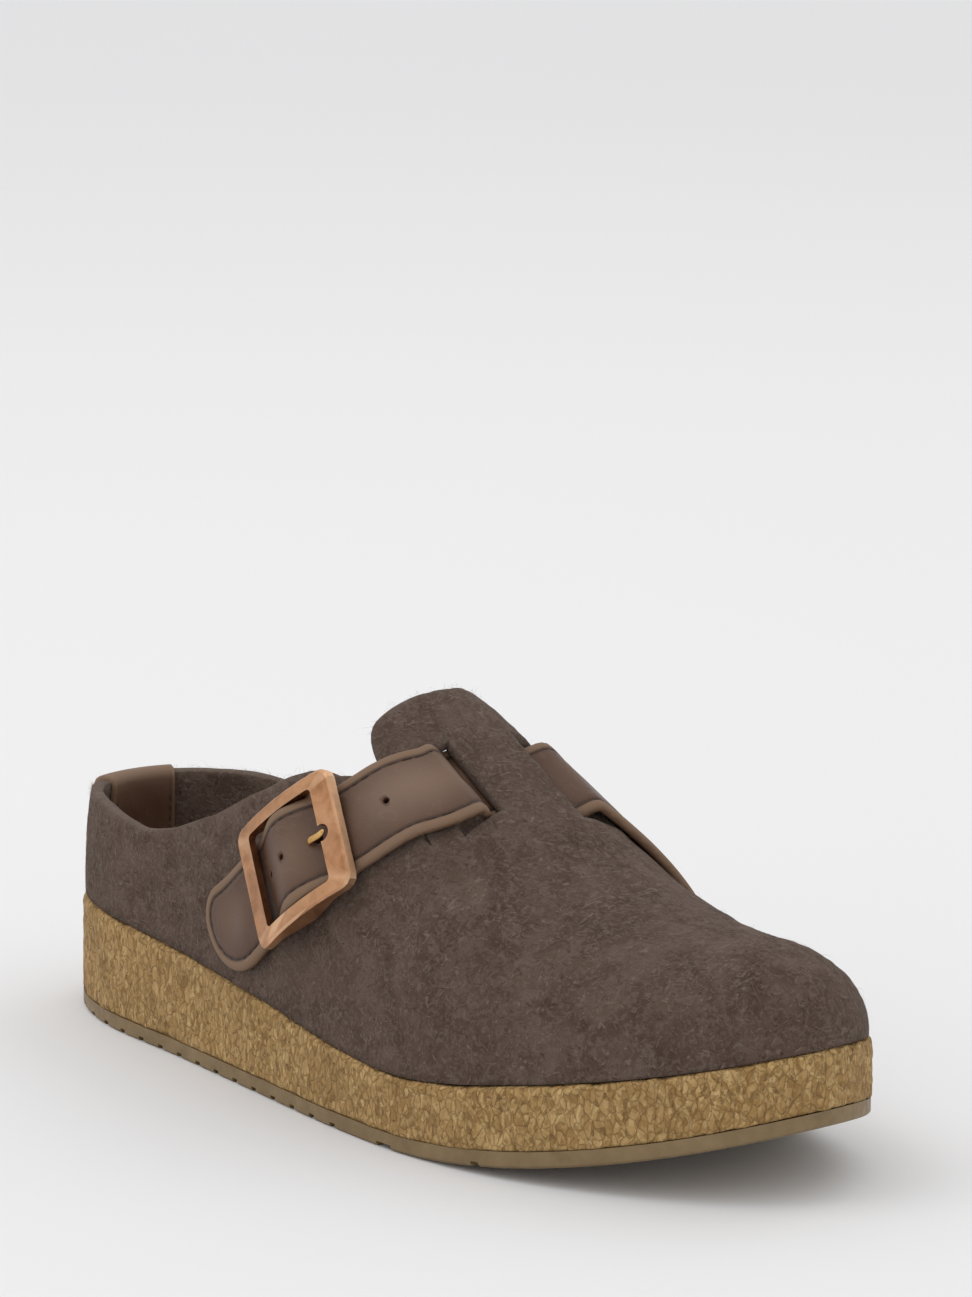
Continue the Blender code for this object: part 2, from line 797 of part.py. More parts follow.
def build_strap(leather, strap):
    bm = bmesh.new()
    columns = 4
    length = strap.length
    rounding = [1 - math.cos(math.radians(x)) for x in (8, 25, 40, 55, 70)]
    ends = [STRAP_END_ROUND * x for x in rounding]
    tab = [TAB_LOWER_ROUND * x for x in rounding]
    slots = [key for key in strap.keys if ends[-1] < key < length - tab[-1]]
    stops = set(ends) | {length - x for x in tab}
    count = int(length / 0.0045)
    stops |= {length * i / count for i in range(1, count)}
    for key in slots[2:8]:
        stops |= {key - 0.0008, key + 0.0008}
    stops |= {strap.buckle + FRAME_LENGTH / 16 * i for i in range(-7, 8)}
    stops = sorted(x for x in stops if ends[0] <= x <= length - tab[0])
    stops = [x for i, x in enumerate(stops) if i == 0 or x - stops[i - 1] > 5e-4]
    rings = []
    for s in stops:
        low, high = strap_edges(s, length)
        step = 4e-4
        rate = (strap.level(s + step) - strap.level(s - step)) / (2 * step)
        thick = STRAP_THICKNESS / 2 * math.sqrt(1 + rate**2)
        ring = []
        for face in (-1, 1):
            for j in range(columns + 1):
                t = j / columns if face < 0 else 1 - j / columns
                offset = low + (high - low) * (1 - t)
                ring.append(bm.verts.new(strap.place(s, offset, strap.level(s) + face * thick)))
        rings.append(ring)
    loft(bm, rings)
    for ring, flip in ((rings[0], True), (rings[-1], False)):
        half = len(ring) // 2
        for j in range(half - 1):
            corners = (ring[j], ring[j + 1], ring[-(j + 2)], ring[-(j + 1)])
            bm.faces.new(corners[::-1] if flip else corners)
    return finish("strap", bm, leather)


class Buckle:
    """The buckle's own frame: t along the strap to its free end, b across it, h off the felt."""

    def __init__(self, strap):
        point, along, across, normal, _, _ = strap.frame(strap.buckle)
        self.origin, self.along, self.across, self.normal = point, along, across, normal

    def place(self, t, b, h):
        bend = t * t / (2 * BUCKLE_BEND)
        return self.origin + self.along * t + self.across * b + self.normal * (h - bend)


def profile_solid(bm, buckle, profile, low, high):
    """A profile of (t, h) points stretched across the strap from low to high."""
    rings = [[bm.verts.new(buckle.place(t, b, h)) for t, h in profile] for b in (low, high)]
    loft(bm, rings)
    bm.faces.new(rings[0][::-1])
    bm.faces.new(rings[1])


def arc(radius, start, end, count, middle=(0.0, 0.0)):
    """Points (t, h) on an arc, with angles in degrees from the free end upward."""
    angles = [math.radians(start + (end - start) * i / count) for i in range(count + 1)]
    return [(middle[0] + radius * math.cos(x), middle[1] + radius * math.sin(x)) for x in angles]


def build_loop(leather, buckle):
    """The leather loop that is sewn to the felt and holds the buckle's middle bar."""
    bm = bmesh.new()
    inner = RING_RADIUS - LOOP_THICKNESS
    bar = (0.0, BAR_HEIGHT)
    base = BAR_HEIGHT - RING_RADIUS
    outer_arc = arc(RING_RADIUS, 30, 270, 12, bar)
    inner_arc = arc(inner, 270, 30, 12, bar)
    top = base + LOOP_THICKNESS
    tail = [(LOOP_TAIL, base), (LOOP_TAIL, top), (RING_RADIUS, top)]
    profile = outer_arc + tail + inner_arc
    profile_solid(bm, buckle, profile, -LOOP_WIDTH / 2, LOOP_WIDTH / 2)
    loop = finish("buckle_loop", bm, leather)
    bm = bmesh.new()
    half = PRONG_WIDTH / 2 + GAP
    reach, (floor, roof) = 2 * RING_RADIUS, CUTTER_HEIGHTS
    room = [(-reach, floor), (reach / 2, floor), (reach / 2, roof), (-reach, roof)]
    profile_solid(bm, buckle, room, -half, half)
    cut(loop, helper("loop_cutter", bm))
    return loop


def frame_height(t):
    """Underside of the buckle's frame: over the strap at both ends, down to the bar between."""
    end = end_height()
    reach = abs(t) / (FRAME_LENGTH / 2 - FRAME_BAR_WIDTH)
    return end - (end - BAR_HEIGHT + BAR_RADIUS) * (1 - smooth_step(reach))


def rounded_loop(half_t, half_b, radius, side_steps):
    """A rectangle with round corners, as (t, b) points with even counts on its sides."""
    loop = []
    corners = ((1, 1), (-1, 1), (-1, -1), (1, -1))
    for index, (st, sb) in enumerate(corners):
        middle = (st * (half_t - radius), sb * (half_b - radius))
        start = index * 90
        for i in range(4):
            angle = math.radians(start + 30 * i)
            loop.append((middle[0] + radius * math.cos(angle), middle[1] + radius * math.sin(angle)))
        following = corners[(index + 1) % 4]
        target = (following[0] * (half_t - radius), following[1] * (half_b - radius))
        angle = math.radians(start + 90)
        push = (radius * math.cos(angle), radius * math.sin(angle))
        for i in range(1, side_steps):
            t = i / side_steps
            loop.append((
                middle[0] + push[0] + (target[0] - middle[0]) * t,
                middle[1] + push[1] + (target[1] - middle[1]) * t,
            ))
    return loop


def build_frame(bronze, buckle):
    """The bronze frame round the strap, with its middle bar and the notch for the prong."""
    bm = bmesh.new()
    half_t = FRAME_LENGTH / 2
    inner_b = STRAP_WIDTH / 2 + RAIL_GAP
    half_b = inner_b + FRAME_RAIL_WIDTH
    outer = rounded_loop(half_t, half_b, FRAME_CORNER, 6)
    inner = rounded_loop(half_t - FRAME_BAR_WIDTH, inner_b, FRAME_INNER_CORNER, 6)
    edge = FRAME_EDGE
    rings = []
    for shape, inward, lift in (
        (inner, 0.0, 0.0),
        (outer, 0.0, 0.0),
        (outer, 0.0, FRAME_THICKNESS - edge),
        (outer, edge, FRAME_THICKNESS),
        (inner, -edge, FRAME_THICKNESS),
        (inner, 0.0, FRAME_THICKNESS - edge),
    ):
        ring = []
        for t, b in shape:
            t -= math.copysign(inward, t)
            b -= math.copysign(inward, b)
            height = end_height() + lift if lift else frame_height(t)
            ring.append(bm.verts.new(buckle.place(t, b, height)))
        rings.append(ring)
    loft(bm, rings + [rings[0]])
    frame = finish("buckle_frame", bm, bronze, 50)
    bm = bmesh.new()
    bar_end = half_b - FRAME_RAIL_WIDTH / 2
    profile_solid(bm, buckle, arc(BAR_RADIUS, 0, 330, 11, (0.0, BAR_HEIGHT)), -bar_end, bar_end)
    cut(frame, helper("middle_bar", bm), "UNION")
    bm = bmesh.new()
    edge_t = -half_t + FRAME_BAR_WIDTH
    rings = []
    for h in CUTTER_HEIGHTS:
        ring = []
        for i in range(16):
            angle = 2 * math.pi * i / 16
            t, b = NOTCH_RADIUS * math.cos(angle), NOTCH_RADIUS * math.sin(angle)
            ring.append(bm.verts.new(buckle.place(edge_t + t, b, h)))
        rings.append(ring)
    loft(bm, rings)
    bm.faces.new(rings[0][::-1])
    bm.faces.new(rings[1])
    cut(frame, helper("notch_cutter", bm))
    return frame


def end_height():
    """Underside of the frame's two end bars."""
    return STRAP_GAP + STRAP_THICKNESS + GAP + BUCKLE_LIFT


def build_prong(brass, buckle):
    bm = bmesh.new()
    inner = BAR_RADIUS + GAP
    outer = inner + PRONG_THICKNESS
    bar = (0.0, BAR_HEIGHT)
    tip_t = -FRAME_LENGTH / 2 + FRAME_BAR_WIDTH - NOTCH_RADIUS * 0.5
    tip_h = end_height() + FRAME_THICKNESS * 0.9
    t = PRONG_THICKNESS
    foot = 180 - math.degrees(math.asin(inner / outer))
    ring_out = arc(outer, foot, 430, 16, bar)
    ring_in = arc(inner, 430, 90, 18, bar)
    knee_h = BAR_HEIGHT + outer
    rise_h = end_height() + STRAP_THICKNESS * 0.55
    profile = [
        *ring_out,
        *ring_in,
        (0.0, knee_h),
        (PRONG_KNEE, knee_h),
        (PRONG_BEND, rise_h + t * 0.5),
        (tip_t, tip_h + t),
        (tip_t, tip_h),
        (PRONG_BEND + t * 0.4, rise_h - t * 0.6),
        (PRONG_KNEE, knee_h - t),
    ]
    profile_solid(bm, buckle, profile, -PRONG_WIDTH / 2, PRONG_WIDTH / 2)
    return finish("buckle_prong", bm, brass, 50)


def cut_prong_hole(strap_object, buckle):
    """The hole that the prong passes up through."""
    bm = bmesh.new()
    half = PRONG_WIDTH / 2 + GAP
    (back, front), (floor, roof) = PRONG_HOLE, CUTTER_HEIGHTS
    room = [(back, floor), (front, floor), (front, roof), (back, roof)]
    profile_solid(bm, buckle, room, -half, half)
    cut(strap_object, helper("prong_hole_cutter", bm))


def main():
    for obj in list(bpy.data.objects):
        bpy.data.objects.remove(obj, do_unlink=True)
    felt = material("felt", (0.115, 0.078, 0.060), 0.95)
    cork = material("cork", (0.45, 0.28, 0.12), 0.85)
    rubber = material("rubber", (0.24, 0.17, 0.09), 0.6)
    leather = material("strap_leather", (0.14, 0.075, 0.045), 0.5)
    suede = material("footbed_suede", (0.20, 0.14, 0.10), 0.95)
    bronze = material("bronze", (0.45, 0.24, 0.14), 0.35, 1.0)
    brass = material("prong_brass", (0.55, 0.33, 0.14), 0.3, 1.0)
    build_outsole(rubber)
    build_midsole(cork)
    build_footbed(suede)
    build_upper(felt)
    build_patch(leather)
    strap = Strap()
    strap_object = build_strap(leather, strap)
    buckle = Buckle(strap)
    build_loop(leather, buckle)
    build_frame(bronze, buckle)
    build_prong(brass, buckle)
    cut_prong_hole(strap_object, buckle)


main()
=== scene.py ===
"""Looks of the felt clog slipper: felt, cork, leather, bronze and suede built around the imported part."""

import math

import bmesh
import bpy
import numpy as np
from mathutils import Matrix, Vector, geometry


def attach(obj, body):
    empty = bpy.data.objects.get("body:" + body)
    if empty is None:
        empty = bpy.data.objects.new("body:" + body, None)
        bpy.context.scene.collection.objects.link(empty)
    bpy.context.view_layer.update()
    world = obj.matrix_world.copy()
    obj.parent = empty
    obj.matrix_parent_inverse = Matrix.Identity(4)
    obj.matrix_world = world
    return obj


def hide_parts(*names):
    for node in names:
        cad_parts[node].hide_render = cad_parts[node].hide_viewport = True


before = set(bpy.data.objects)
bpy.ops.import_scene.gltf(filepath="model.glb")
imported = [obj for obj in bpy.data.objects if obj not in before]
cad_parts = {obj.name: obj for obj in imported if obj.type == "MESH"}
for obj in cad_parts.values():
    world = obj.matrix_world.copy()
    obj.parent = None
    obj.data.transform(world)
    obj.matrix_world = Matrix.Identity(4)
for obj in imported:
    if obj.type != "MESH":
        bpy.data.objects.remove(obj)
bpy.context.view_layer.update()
RNG = np.random.default_rng(7)

# ---------------------------------------------------------------- shape of the last, as in the part

SHOE_LENGTH = 0.264
BALL_WIDTH = 0.094
HEEL_HEIGHT = 0.0301
INSTEP_RISE = 0.083
TOE_SPRING = 0.0177
TOE_SWING = 0.003
BALL_SHARE = 0.66
RUBBER_THICKNESS = 0.0041
SPRING_START = 0.62
FOOTBED_THICKNESS = 0.0045
FOOTBED_WALL = 0.0085
ARCH_SUPPORT = 0.0045
ARCH_SHARE = 0.42
ARCH_SPREAD = 0.13
HEEL_CUP_END = 0.6
FELT_WALL = 0.0035
FELT_INSET = 0.0008
SECTION_POWER = 2.1
BRIDGE_HALF_WIDTH = 0.010
SLOT_SPARE = 0.0040
SLOT_FLARE = 0.0010
STRAP_WIDTH = 0.0245
STRAP_THICKNESS = 0.0026
STRAP_SLOPE = math.radians(48)
STRAP_END_ROUND = 0.009
TAB_UPPER_ROUND = 0.008
TAB_LOWER_ROUND = 0.016
PATCH_THICKNESS = 0.0013
PATCH_HALF_ANGLE = 0.072
PATCH_DROP = 0.013
BAR_RADIUS = 0.0010
LOOP_THICKNESS = 0.0010
FRAME_LENGTH = 0.036
FRAME_BAR_WIDTH = 0.0052
FRAME_THICKNESS = 0.0025
NOTCH_RADIUS = 0.0022
BUCKLE_BEND = 0.070
BUCKLE_LIFT = 0.0015
GAP = 0.0003
STRAP_GAP = 0.0004
STRAP_EASE = 0.0050
DIVE = (0.0026, 0.0062)
CORK_SEAT = 0.00005
HALF_BALL = BALL_WIDTH / 2
STEP = 1e-4

# sizes that only the looks have
WELD_REACH = 0.00001
FELT_STEP, QUICK_FELT_STEP = 0.0017, 0.0026
RIM_BULGE, SOLE_RIM_BULGE = 0.00055, 0.00012
FIBRE_COUNT = 5200
FIBRE_RADIUS = 0.000022
RIM_FIBRES = 3
STITCH_INSET = 0.00285
STITCH_PITCH = 0.0029
STITCH_SHARE = 0.80
THREAD_RADIUS, PATCH_THREAD_RADIUS = 0.00021, 0.0002
HOLE_RADIUS, PRONG_HOLE_RADIUS = 0.00078, 0.00125
PATCH_CROWN = 0.0012
PATCH_SEAM = 0.865
PRONG_HALF_WIDTH, PRONG_HALF_HEIGHT = 0.0009, 0.0006
PRONG_RING_GAP = 0.0005

OUTLINE = (
    (0.000, 0.000, 0.000), (0.030, 0.207, 0.202), (0.125, 0.340, 0.335), (0.270, 0.394, 0.351),
    (0.420, 0.457, 0.367), (0.550, 0.511, 0.426), (0.660, 0.532, 0.468), (0.760, 0.498, 0.463),
    (0.860, 0.399, 0.404), (0.940, 0.271, 0.298), (0.985, 0.136, 0.154), (1.000, 0.000, 0.000),
)
CORK = ((0.00, 0.864), (0.20, 0.804), (0.42, 0.648), (0.62, 0.472), (0.80, 0.518), (1.00, 0.465))
RIDGE = (
    (0.000, 0.890), (0.150, 0.929), (0.300, 0.984), (0.400, 1.000), (0.460, 0.957), (0.520, 0.888),
    (0.580, 0.786), (0.640, 0.675), (0.700, 0.556), (0.780, 0.426), (0.860, 0.354), (0.920, 0.313),
    (0.955, 0.276),
)
COLLAR = (
    (0.000, 0.318), (0.100, 0.324), (0.160, 0.311), (0.190, 0.310), (0.210, 0.323), (0.240, 0.352),
    (0.266, 0.389), (0.307, 0.448), (0.345, 0.518), (0.380, 0.587), (0.422, 0.666), (0.446, 0.697),
    (0.464, 0.706),
)
CUT_BACK = ((0.4755, 0.470), (0.4815, 0.458), (0.4870, 0.448), (0.5400, 0.426), (0.6000, 0.404))
CUT_FRONT = ((0.6045, 0.397), (0.5980, 0.390), (0.5500, 0.372), (0.5060, 0.352))
SLOTS = {-1: (0.5400, 0.5755, 0.6195), 1: (0.5360, 0.589, 0.6420)}
TONGUE = (
    (0.4930, 0.334), (0.4850, 0.313), (0.4810, 0.285), (0.4812, 0.240), (0.4838, 0.165),
    (0.4865, 0.085), (0.4885, 0.000),
)
STRAP_INNER = ((0.645, 0.870), (0.638, 0.720), (0.621, 0.550))
STRAP_OUTER = (
    (0.567, -0.300), (0.5455, -0.420), (0.528, -0.517), (0.501, -0.609), (0.4746, -0.685),
    (0.448, -0.7485), (0.4216, -0.806), (0.390, -0.874), (0.341, -0.944),
)
BUCKLE_ROW = 4
HEEL_FAN = (0.14, 0.35)
TOE_FAN = (0.80, 0.55)


def station(share):
    return np.arccos(1 - 2 * np.clip(share, 0.0, 1.0)) / math.pi


def share_at(q):
    return (1 - np.cos(math.pi * np.asarray(q, float))) / 2


def curve(rows, column, warp=lambda share: share):
    """A smooth curve through one column of a table, over its first column."""
    xs = np.array([float(warp(row[0])) for row in rows])
    ys = np.array([row[column] for row in rows])
    width = np.diff(xs)
    slope = np.diff(ys) / width
    middle = (slope[:-1] * width[1:] + slope[1:] * width[:-1]) / (xs[2:] - xs[:-2])
    ends = 1.5 * slope[[0, -1]] - 0.5 * middle[[0, -1]]
    tangent = np.concatenate([ends[:1], middle, ends[1:]])

    def value(x):
        x = np.clip(x, xs[0], xs[-1])
        i = np.clip(np.searchsorted(xs, x, side="right") - 1, 0, len(xs) - 2)
        h = xs[i + 1] - xs[i]
        t = (x - xs[i]) / h
        start = (2 * t**3 - 3 * t**2 + 1) * ys[i] + (t**3 - 2 * t**2 + t) * h * tangent[i]
        return start + (3 * t**2 - 2 * t**3) * ys[i + 1] + (t**3 - t**2) * h * tangent[i + 1]

    return value


outer_width = curve(OUTLINE, 1, station)
inner_width = curve(OUTLINE, 2, station)
cork_share = curve(CORK, 1)
ridge_share = curve(RIDGE, 1)
collar_share = curve(COLLAR, 1)


def centre_line(share):
    return TOE_SWING * share**2


BALL_MIDDLE = float(inner_width(station(BALL_SHARE)) - outer_width(station(BALL_SHARE))) * HALF_BALL
BALL_MIDDLE += centre_line(BALL_SHARE)


def rubber_top(share):
    toe = np.maximum(0.0, (share - SPRING_START) / (1 - SPRING_START))
    return RUBBER_THICKNESS + TOE_SPRING * toe**2


def cork_top(share):
    return rubber_top(share) + cork_share(share) * HEEL_HEIGHT


def felt_bottom(share):
    return cork_top(share) + GAP


def ridge_rise(share):
    return ridge_share(share) * INSTEP_RISE


def ridge_station(share):
    share = np.asarray(share, float)
    toe_start, toe_rate = TOE_FAN
    heel_end, heel_rate = HEEL_FAN
    run = share - toe_start
    toe = toe_start + run * (1 - (1 - toe_rate) * run / (1 - toe_start))
    back = heel_end - share
    heel = heel_end - back * (1 - (1 - heel_rate) * back / heel_end)
    return np.where(share > toe_start, toe, np.where(share < heel_end, heel, share))


def fold(q, a):
    """Turns places beyond the heel or the toe into places on the other side."""
    q, a = np.broadcast_arrays(np.asarray(q, float), np.asarray(a, float))
    over = (q < 0) | (q > 1)
    return np.where(q < 0, -q, np.where(q > 1, 2 - q, q)), np.where(over, -a, a)


def outline_raw(q, side):
    q, side = fold(q, side)
    share = share_at(q)
    width = np.where(side < 0, outer_width(q), inner_width(q)) * BALL_WIDTH
    x = (share - 0.5) * SHOE_LENGTH
    y = centre_line(share) + side * width - BALL_MIDDLE
    return np.stack([x, y], axis=-1)


def outline(q, side, inset=0.0):
    q, side = fold(q, side)
    run = outline_raw(q + STEP, side) - outline_raw(q - STEP, side)
    inward = np.stack([run[..., 1], -run[..., 0]], axis=-1) * side[..., None]
    inward /= np.linalg.norm(inward, axis=-1, keepdims=True)
    return outline_raw(q, side) + inward * inset


def last_point(q, a):
    """Points of the felt's outer face."""
    q, a = fold(q, a)
    side = np.where(a > 0, 1.0, -1.0)
    girth = math.pi / 2 * (1 - np.minimum(np.abs(a), 1.0))
    share = share_at(q)
    foot = outline(q, side, FELT_INSET)
    top_share = ridge_station(share)
    top = np.stack([(top_share - 0.5) * SHOE_LENGTH, centre_line(top_share) - BALL_MIDDLE], axis=-1)
    run = 1 - np.maximum(np.cos(girth), 0.0) ** (2 / SECTION_POWER)
    rise = np.maximum(np.sin(girth), 0.0) ** (2 / SECTION_POWER)
    low = felt_bottom(share)
    high = cork_top(top_share) + ridge_rise(top_share)
    flat = foot + (top - foot) * run[..., None]
    return np.concatenate([flat, (low + (high - low) * rise)[..., None]], axis=-1)


def unit(v):
    return v / np.maximum(np.linalg.norm(v, axis=-1, keepdims=True), 1e-12)


def last_normal(q, a):
    step = 1e-3
    q, a = fold(q, a)
    q = np.clip(q, step, 1 - step)
    a = np.clip(a, step - 1, 1 - step)
    along = last_point(q + step, a) - last_point(q - step, a)
    across = last_point(q, a + step) - last_point(q, a - step)
    return unit(np.cross(along, across))


def across_at_rise(share, rise, side):
    sine = np.minimum(rise / ridge_rise(share), 1.0) ** (SECTION_POWER / 2)
    return side * (1 - np.arcsin(sine) / (math.pi / 2))


def across_at_offset(share, offset, side):
    width = (outer_width if side < 0 else inner_width)(station(share)) * BALL_WIDTH - FELT_INSET
    cosine = np.minimum(offset / width, 1.0) ** (SECTION_POWER / 2)
    return side * (1 - np.arccos(cosine) / (math.pi / 2))


def ridge_offset(q, a):
    """How far a place lies sideways from the ridge, the other way round to across_at_offset."""
    q, a = fold(q, a)
    width = np.where(a < 0, outer_width(q), inner_width(q)) * BALL_WIDTH - FELT_INSET
    girth = math.pi / 2 * (1 - np.minimum(np.abs(a), 1.0))
    return width * np.maximum(np.cos(girth), 0.0) ** (2 / SECTION_POWER)


def on_last(points, q, a):
    """Places (q, a) of the outer face nearest to points, from near guesses."""
    q, a = np.array(q, float), np.array(a, float)
    step = 1e-4
    for _ in range(6):
        here = last_point(q, a)
        along = (last_point(q + step, a) - here) / step
        across = (last_point(q, a + step) - here) / step
        gap = points - here
        aa, bb, ab = (along**2).sum(-1), (across**2).sum(-1), (along * across).sum(-1)
        ga, gb = (gap * along).sum(-1), (gap * across).sum(-1)
        scale = np.maximum(aa * bb - ab**2, 1e-18)
        q += (ga * bb - gb * ab) / scale
        a += (gb * aa - ga * ab) / scale
    return q, a


def smooth(t):
    t = np.clip(t, 0.0, 1.0)
    return t * t * (3 - 2 * t)


# ---------------------------------------------------------------- small tools

class Wave:
    """Smooth seeded noise in space, from sums of sine waves at random angles."""

    def __init__(self, size, count=24, spread=0.5):
        turn = unit(RNG.normal(size=(count, 3)))
        self.k = turn * (2 * math.pi / size) * RNG.uniform(1 - spread, 1 + spread, (count, 1))
        self.phase = RNG.uniform(0, 2 * math.pi, count)
        self.scale = math.sqrt(2 / count)

    def __call__(self, points):
        return np.sin(points @ self.k.T + self.phase).sum(-1) * self.scale


def make(name, points, faces, material, attributes=None, sharp=None):
    """A smooth mesh object from arrays, its double points welded and its faces turned outwards."""
    mesh = bpy.data.meshes.new(name)
    mesh.from_pydata([tuple(p) for p in np.asarray(points, float)], [], [tuple(map(int, f)) for f in faces])
    for key, values in (attributes or {}).items():
        layer = mesh.attributes.new(key, "FLOAT", "POINT")
        layer.data.foreach_set("value", np.asarray(values, np.float32))
    mesh.validate()
    bm = bmesh.new()
    bm.from_mesh(mesh)
    bmesh.ops.remove_doubles(bm, verts=bm.verts, dist=1e-6)
    bmesh.ops.dissolve_degenerate(bm, edges=bm.edges, dist=1e-7)
    bmesh.ops.recalc_face_normals(bm, faces=bm.faces)
    bm.to_mesh(mesh)
    bm.free()
    mesh.shade_smooth()
    if sharp:
        mesh.set_sharp_from_angle(angle=math.radians(sharp))
    mesh.materials.append(material)
    obj = bpy.data.objects.new(name, mesh)
    bpy.context.scene.collection.objects.link(obj)
    return obj


def place(obj, slot, *nodes):
    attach(obj, "root")
    if nodes:
        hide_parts(*nodes)
    return obj


def ring_faces(start, rows, columns, closed=True):
    """Quads of a grid of rows by columns, numbered row after row."""
    faces = []
    last = columns if closed else columns - 1
    for r in range(rows - 1):
        for c in range(last):
            d = (c + 1) % columns
            faces.append((start + r * columns + c, start + r * columns + d,
                          start + (r + 1) * columns + d, start + (r + 1) * columns + c))
    return faces


def tubes(paths, radius, sides=6):
    """Closed round tubes along short paths, as (points, faces). Each path is (points, side direction)."""
    points, faces = [], []
    for path, up in paths:
        path = np.asarray(path, float)
        run = unit(np.gradient(path, axis=0))
        side = unit(np.cross(run, up))
        top = np.cross(side, run)
        count = len(path)
        start = len(points)
        for i in range(count):
            end = min(i, count - 1 - i) / max(1.0, (count - 1) / 2)
            grow = radius * math.sqrt(max(0.02, 1 - (1 - end) ** 4))
            for j in range(sides):
                angle = 2 * math.pi * j / sides
                points.append(path[i] + grow * (math.cos(angle) * side[i] + math.sin(angle) * top[i]))
        faces += ring_faces(start, count, sides)
        faces.append(tuple(range(start + sides - 1, start - 1, -1)))
        faces.append(tuple(range(start + (count - 1) * sides, start + count * sides)))
    return points, faces


# ---------------------------------------------------------------- materials

class Nodes:
    """Shorthand for building one node material."""

    def __init__(self, name):
        self.material = bpy.data.materials.new(name)
        self.material.use_nodes = True
        self.tree = self.material.node_tree
        self.shader = self.tree.nodes["Principled BSDF"]
        self.where = self.add("ShaderNodeTexCoord").outputs["Object"]

    def add(self, kind, **settings):
        node = self.tree.nodes.new(kind)
        for key, value in settings.items():
            setattr(node, key, value)
        return node

    def put(self, socket, value):
        if isinstance(value, bpy.types.NodeSocket):
            self.tree.links.new(value, socket)
        else:
            socket.default_value = value

    def stretch(self, scale, turn=(0, 0, 0)):
        node = self.add("ShaderNodeMapping")
        self.put(node.inputs["Vector"], self.where)
        node.inputs["Scale"].default_value = scale
        node.inputs["Rotation"].default_value = turn
        return node.outputs[0]

    def noise(self, scale, detail=3.0, rough=0.5, distort=0.0, vector=None):
        node = self.add("ShaderNodeTexNoise")
        self.put(node.inputs["Vector"], vector or self.where)
        node.inputs["Scale"].default_value = scale
        node.inputs["Detail"].default_value = detail
        node.inputs["Roughness"].default_value = rough
        node.inputs["Distortion"].default_value = distort
        return node.outputs["Fac"]

    def cells(self, scale, vector, feature="F1", output="Distance"):
        node = self.add("ShaderNodeTexVoronoi", feature=feature)
        self.put(node.inputs["Vector"], vector)
        node.inputs["Scale"].default_value = scale
        return node.outputs[output]

    def ramp(self, value, *stops):
        node = self.add("ShaderNodeValToRGB")
        self.put(node.inputs[0], value)
        elements = node.color_ramp.elements
        while len(elements) < len(stops):
            elements.new(0.5)
        for element, (place_, colour) in zip(elements, stops):
            element.position = place_
            element.color = (*colour, 1.0) if len(colour) == 3 else colour
        return node.outputs["Color"]

    def band(self, value, low, high, start=0.0, end=1.0):
        node = self.add("ShaderNodeMapRange", interpolation_type="SMOOTHSTEP")
        self.put(node.inputs[0], value)
        for socket, number in zip(node.inputs[1:5], (low, high, start, end)):
            socket.default_value = number
        return node.outputs[0]

    def mix(self, share, first, second):
        node = self.add("ShaderNodeMix", data_type="RGBA")
        self.put(node.inputs[0], share)
        for socket, value in ((node.inputs[6], first), (node.inputs[7], second)):
            self.put(socket, (*value, 1.0) if isinstance(value, tuple) and len(value) == 3 else value)
        return node.outputs[2]

    def math(self, operation, *values):
        node = self.add("ShaderNodeMath", operation=operation)
        for socket, value in zip(node.inputs, values):
            self.put(socket, value)
        return node.outputs[0]

    def attribute(self, name):
        return self.add("ShaderNodeAttribute", attribute_name=name).outputs["Fac"]

    def bump(self, height, distance, strength=1.0, normal=None):
        node = self.add("ShaderNodeBump")
        self.put(node.inputs["Height"], height)
        node.inputs["Distance"].default_value = distance
        node.inputs["Strength"].default_value = strength
        if normal:
            self.put(node.inputs["Normal"], normal)
        return node.outputs[0]

    def finish(self, colour, roughness, normal=None, **constants):
        self.put(self.shader.inputs["Base Color"], (*colour, 1.0) if isinstance(colour, tuple) else colour)
        self.put(self.shader.inputs["Roughness"], roughness)
        if normal:
            self.put(self.shader.inputs["Normal"], normal)
        for key, value in constants.items():
            self.shader.inputs[key.replace("_", " ")].default_value = value
        return self.material


def felt_material():
    n = Nodes("felt_brown")
    clump = n.noise(95, 4, 0.55, 0.6)
    fleck = n.noise(420, 4, 0.6, 1.6)
    wisp_a = n.noise(300, 5, 0.62, 3.2, n.stretch((1, 0.35, 1), (0.3, 0.5, 0.7)))
    wisp_b = n.noise(360, 5, 0.62, 3.6, n.stretch((0.4, 1, 0.8), (1.1, 0.2, 2.1)))
    base = n.ramp(clump, (0.30, (0.060, 0.037, 0.026)), (0.52, (0.090, 0.058, 0.043)),
                  (0.72, (0.122, 0.083, 0.064)))
    base = n.mix(n.band(fleck, 0.42, 0.66, 0.0, 0.75), base, (0.135, 0.100, 0.082))
    base = n.mix(n.band(wisp_a, 0.56, 0.70, 0.0, 0.65), base, (0.215, 0.165, 0.135))
    base = n.mix(n.band(wisp_b, 0.30, 0.44, 0.7, 0.0), base, (0.034, 0.021, 0.015))
    edge = n.attribute("edge")
    base = n.mix(n.math("MULTIPLY", edge, 0.45), base, (0.165, 0.125, 0.100))
    hair = n.math("ADD", n.math("MULTIPLY", wisp_a, 0.6), n.math("MULTIPLY", wisp_b, 0.6))
    hair = n.math("ADD", hair, n.math("MULTIPLY", n.noise(1500, 3, 0.7), 0.5))
    normal = n.bump(hair, 0.0009, 0.8, n.bump(fleck, 0.0008, 0.5))
    return n.finish(base, 0.96, normal, Sheen_Weight=0.07, Sheen_Roughness=0.55, Specular_IOR_Level=0.15,
                    Sheen_Tint=(0.75, 0.62, 0.54, 1.0))


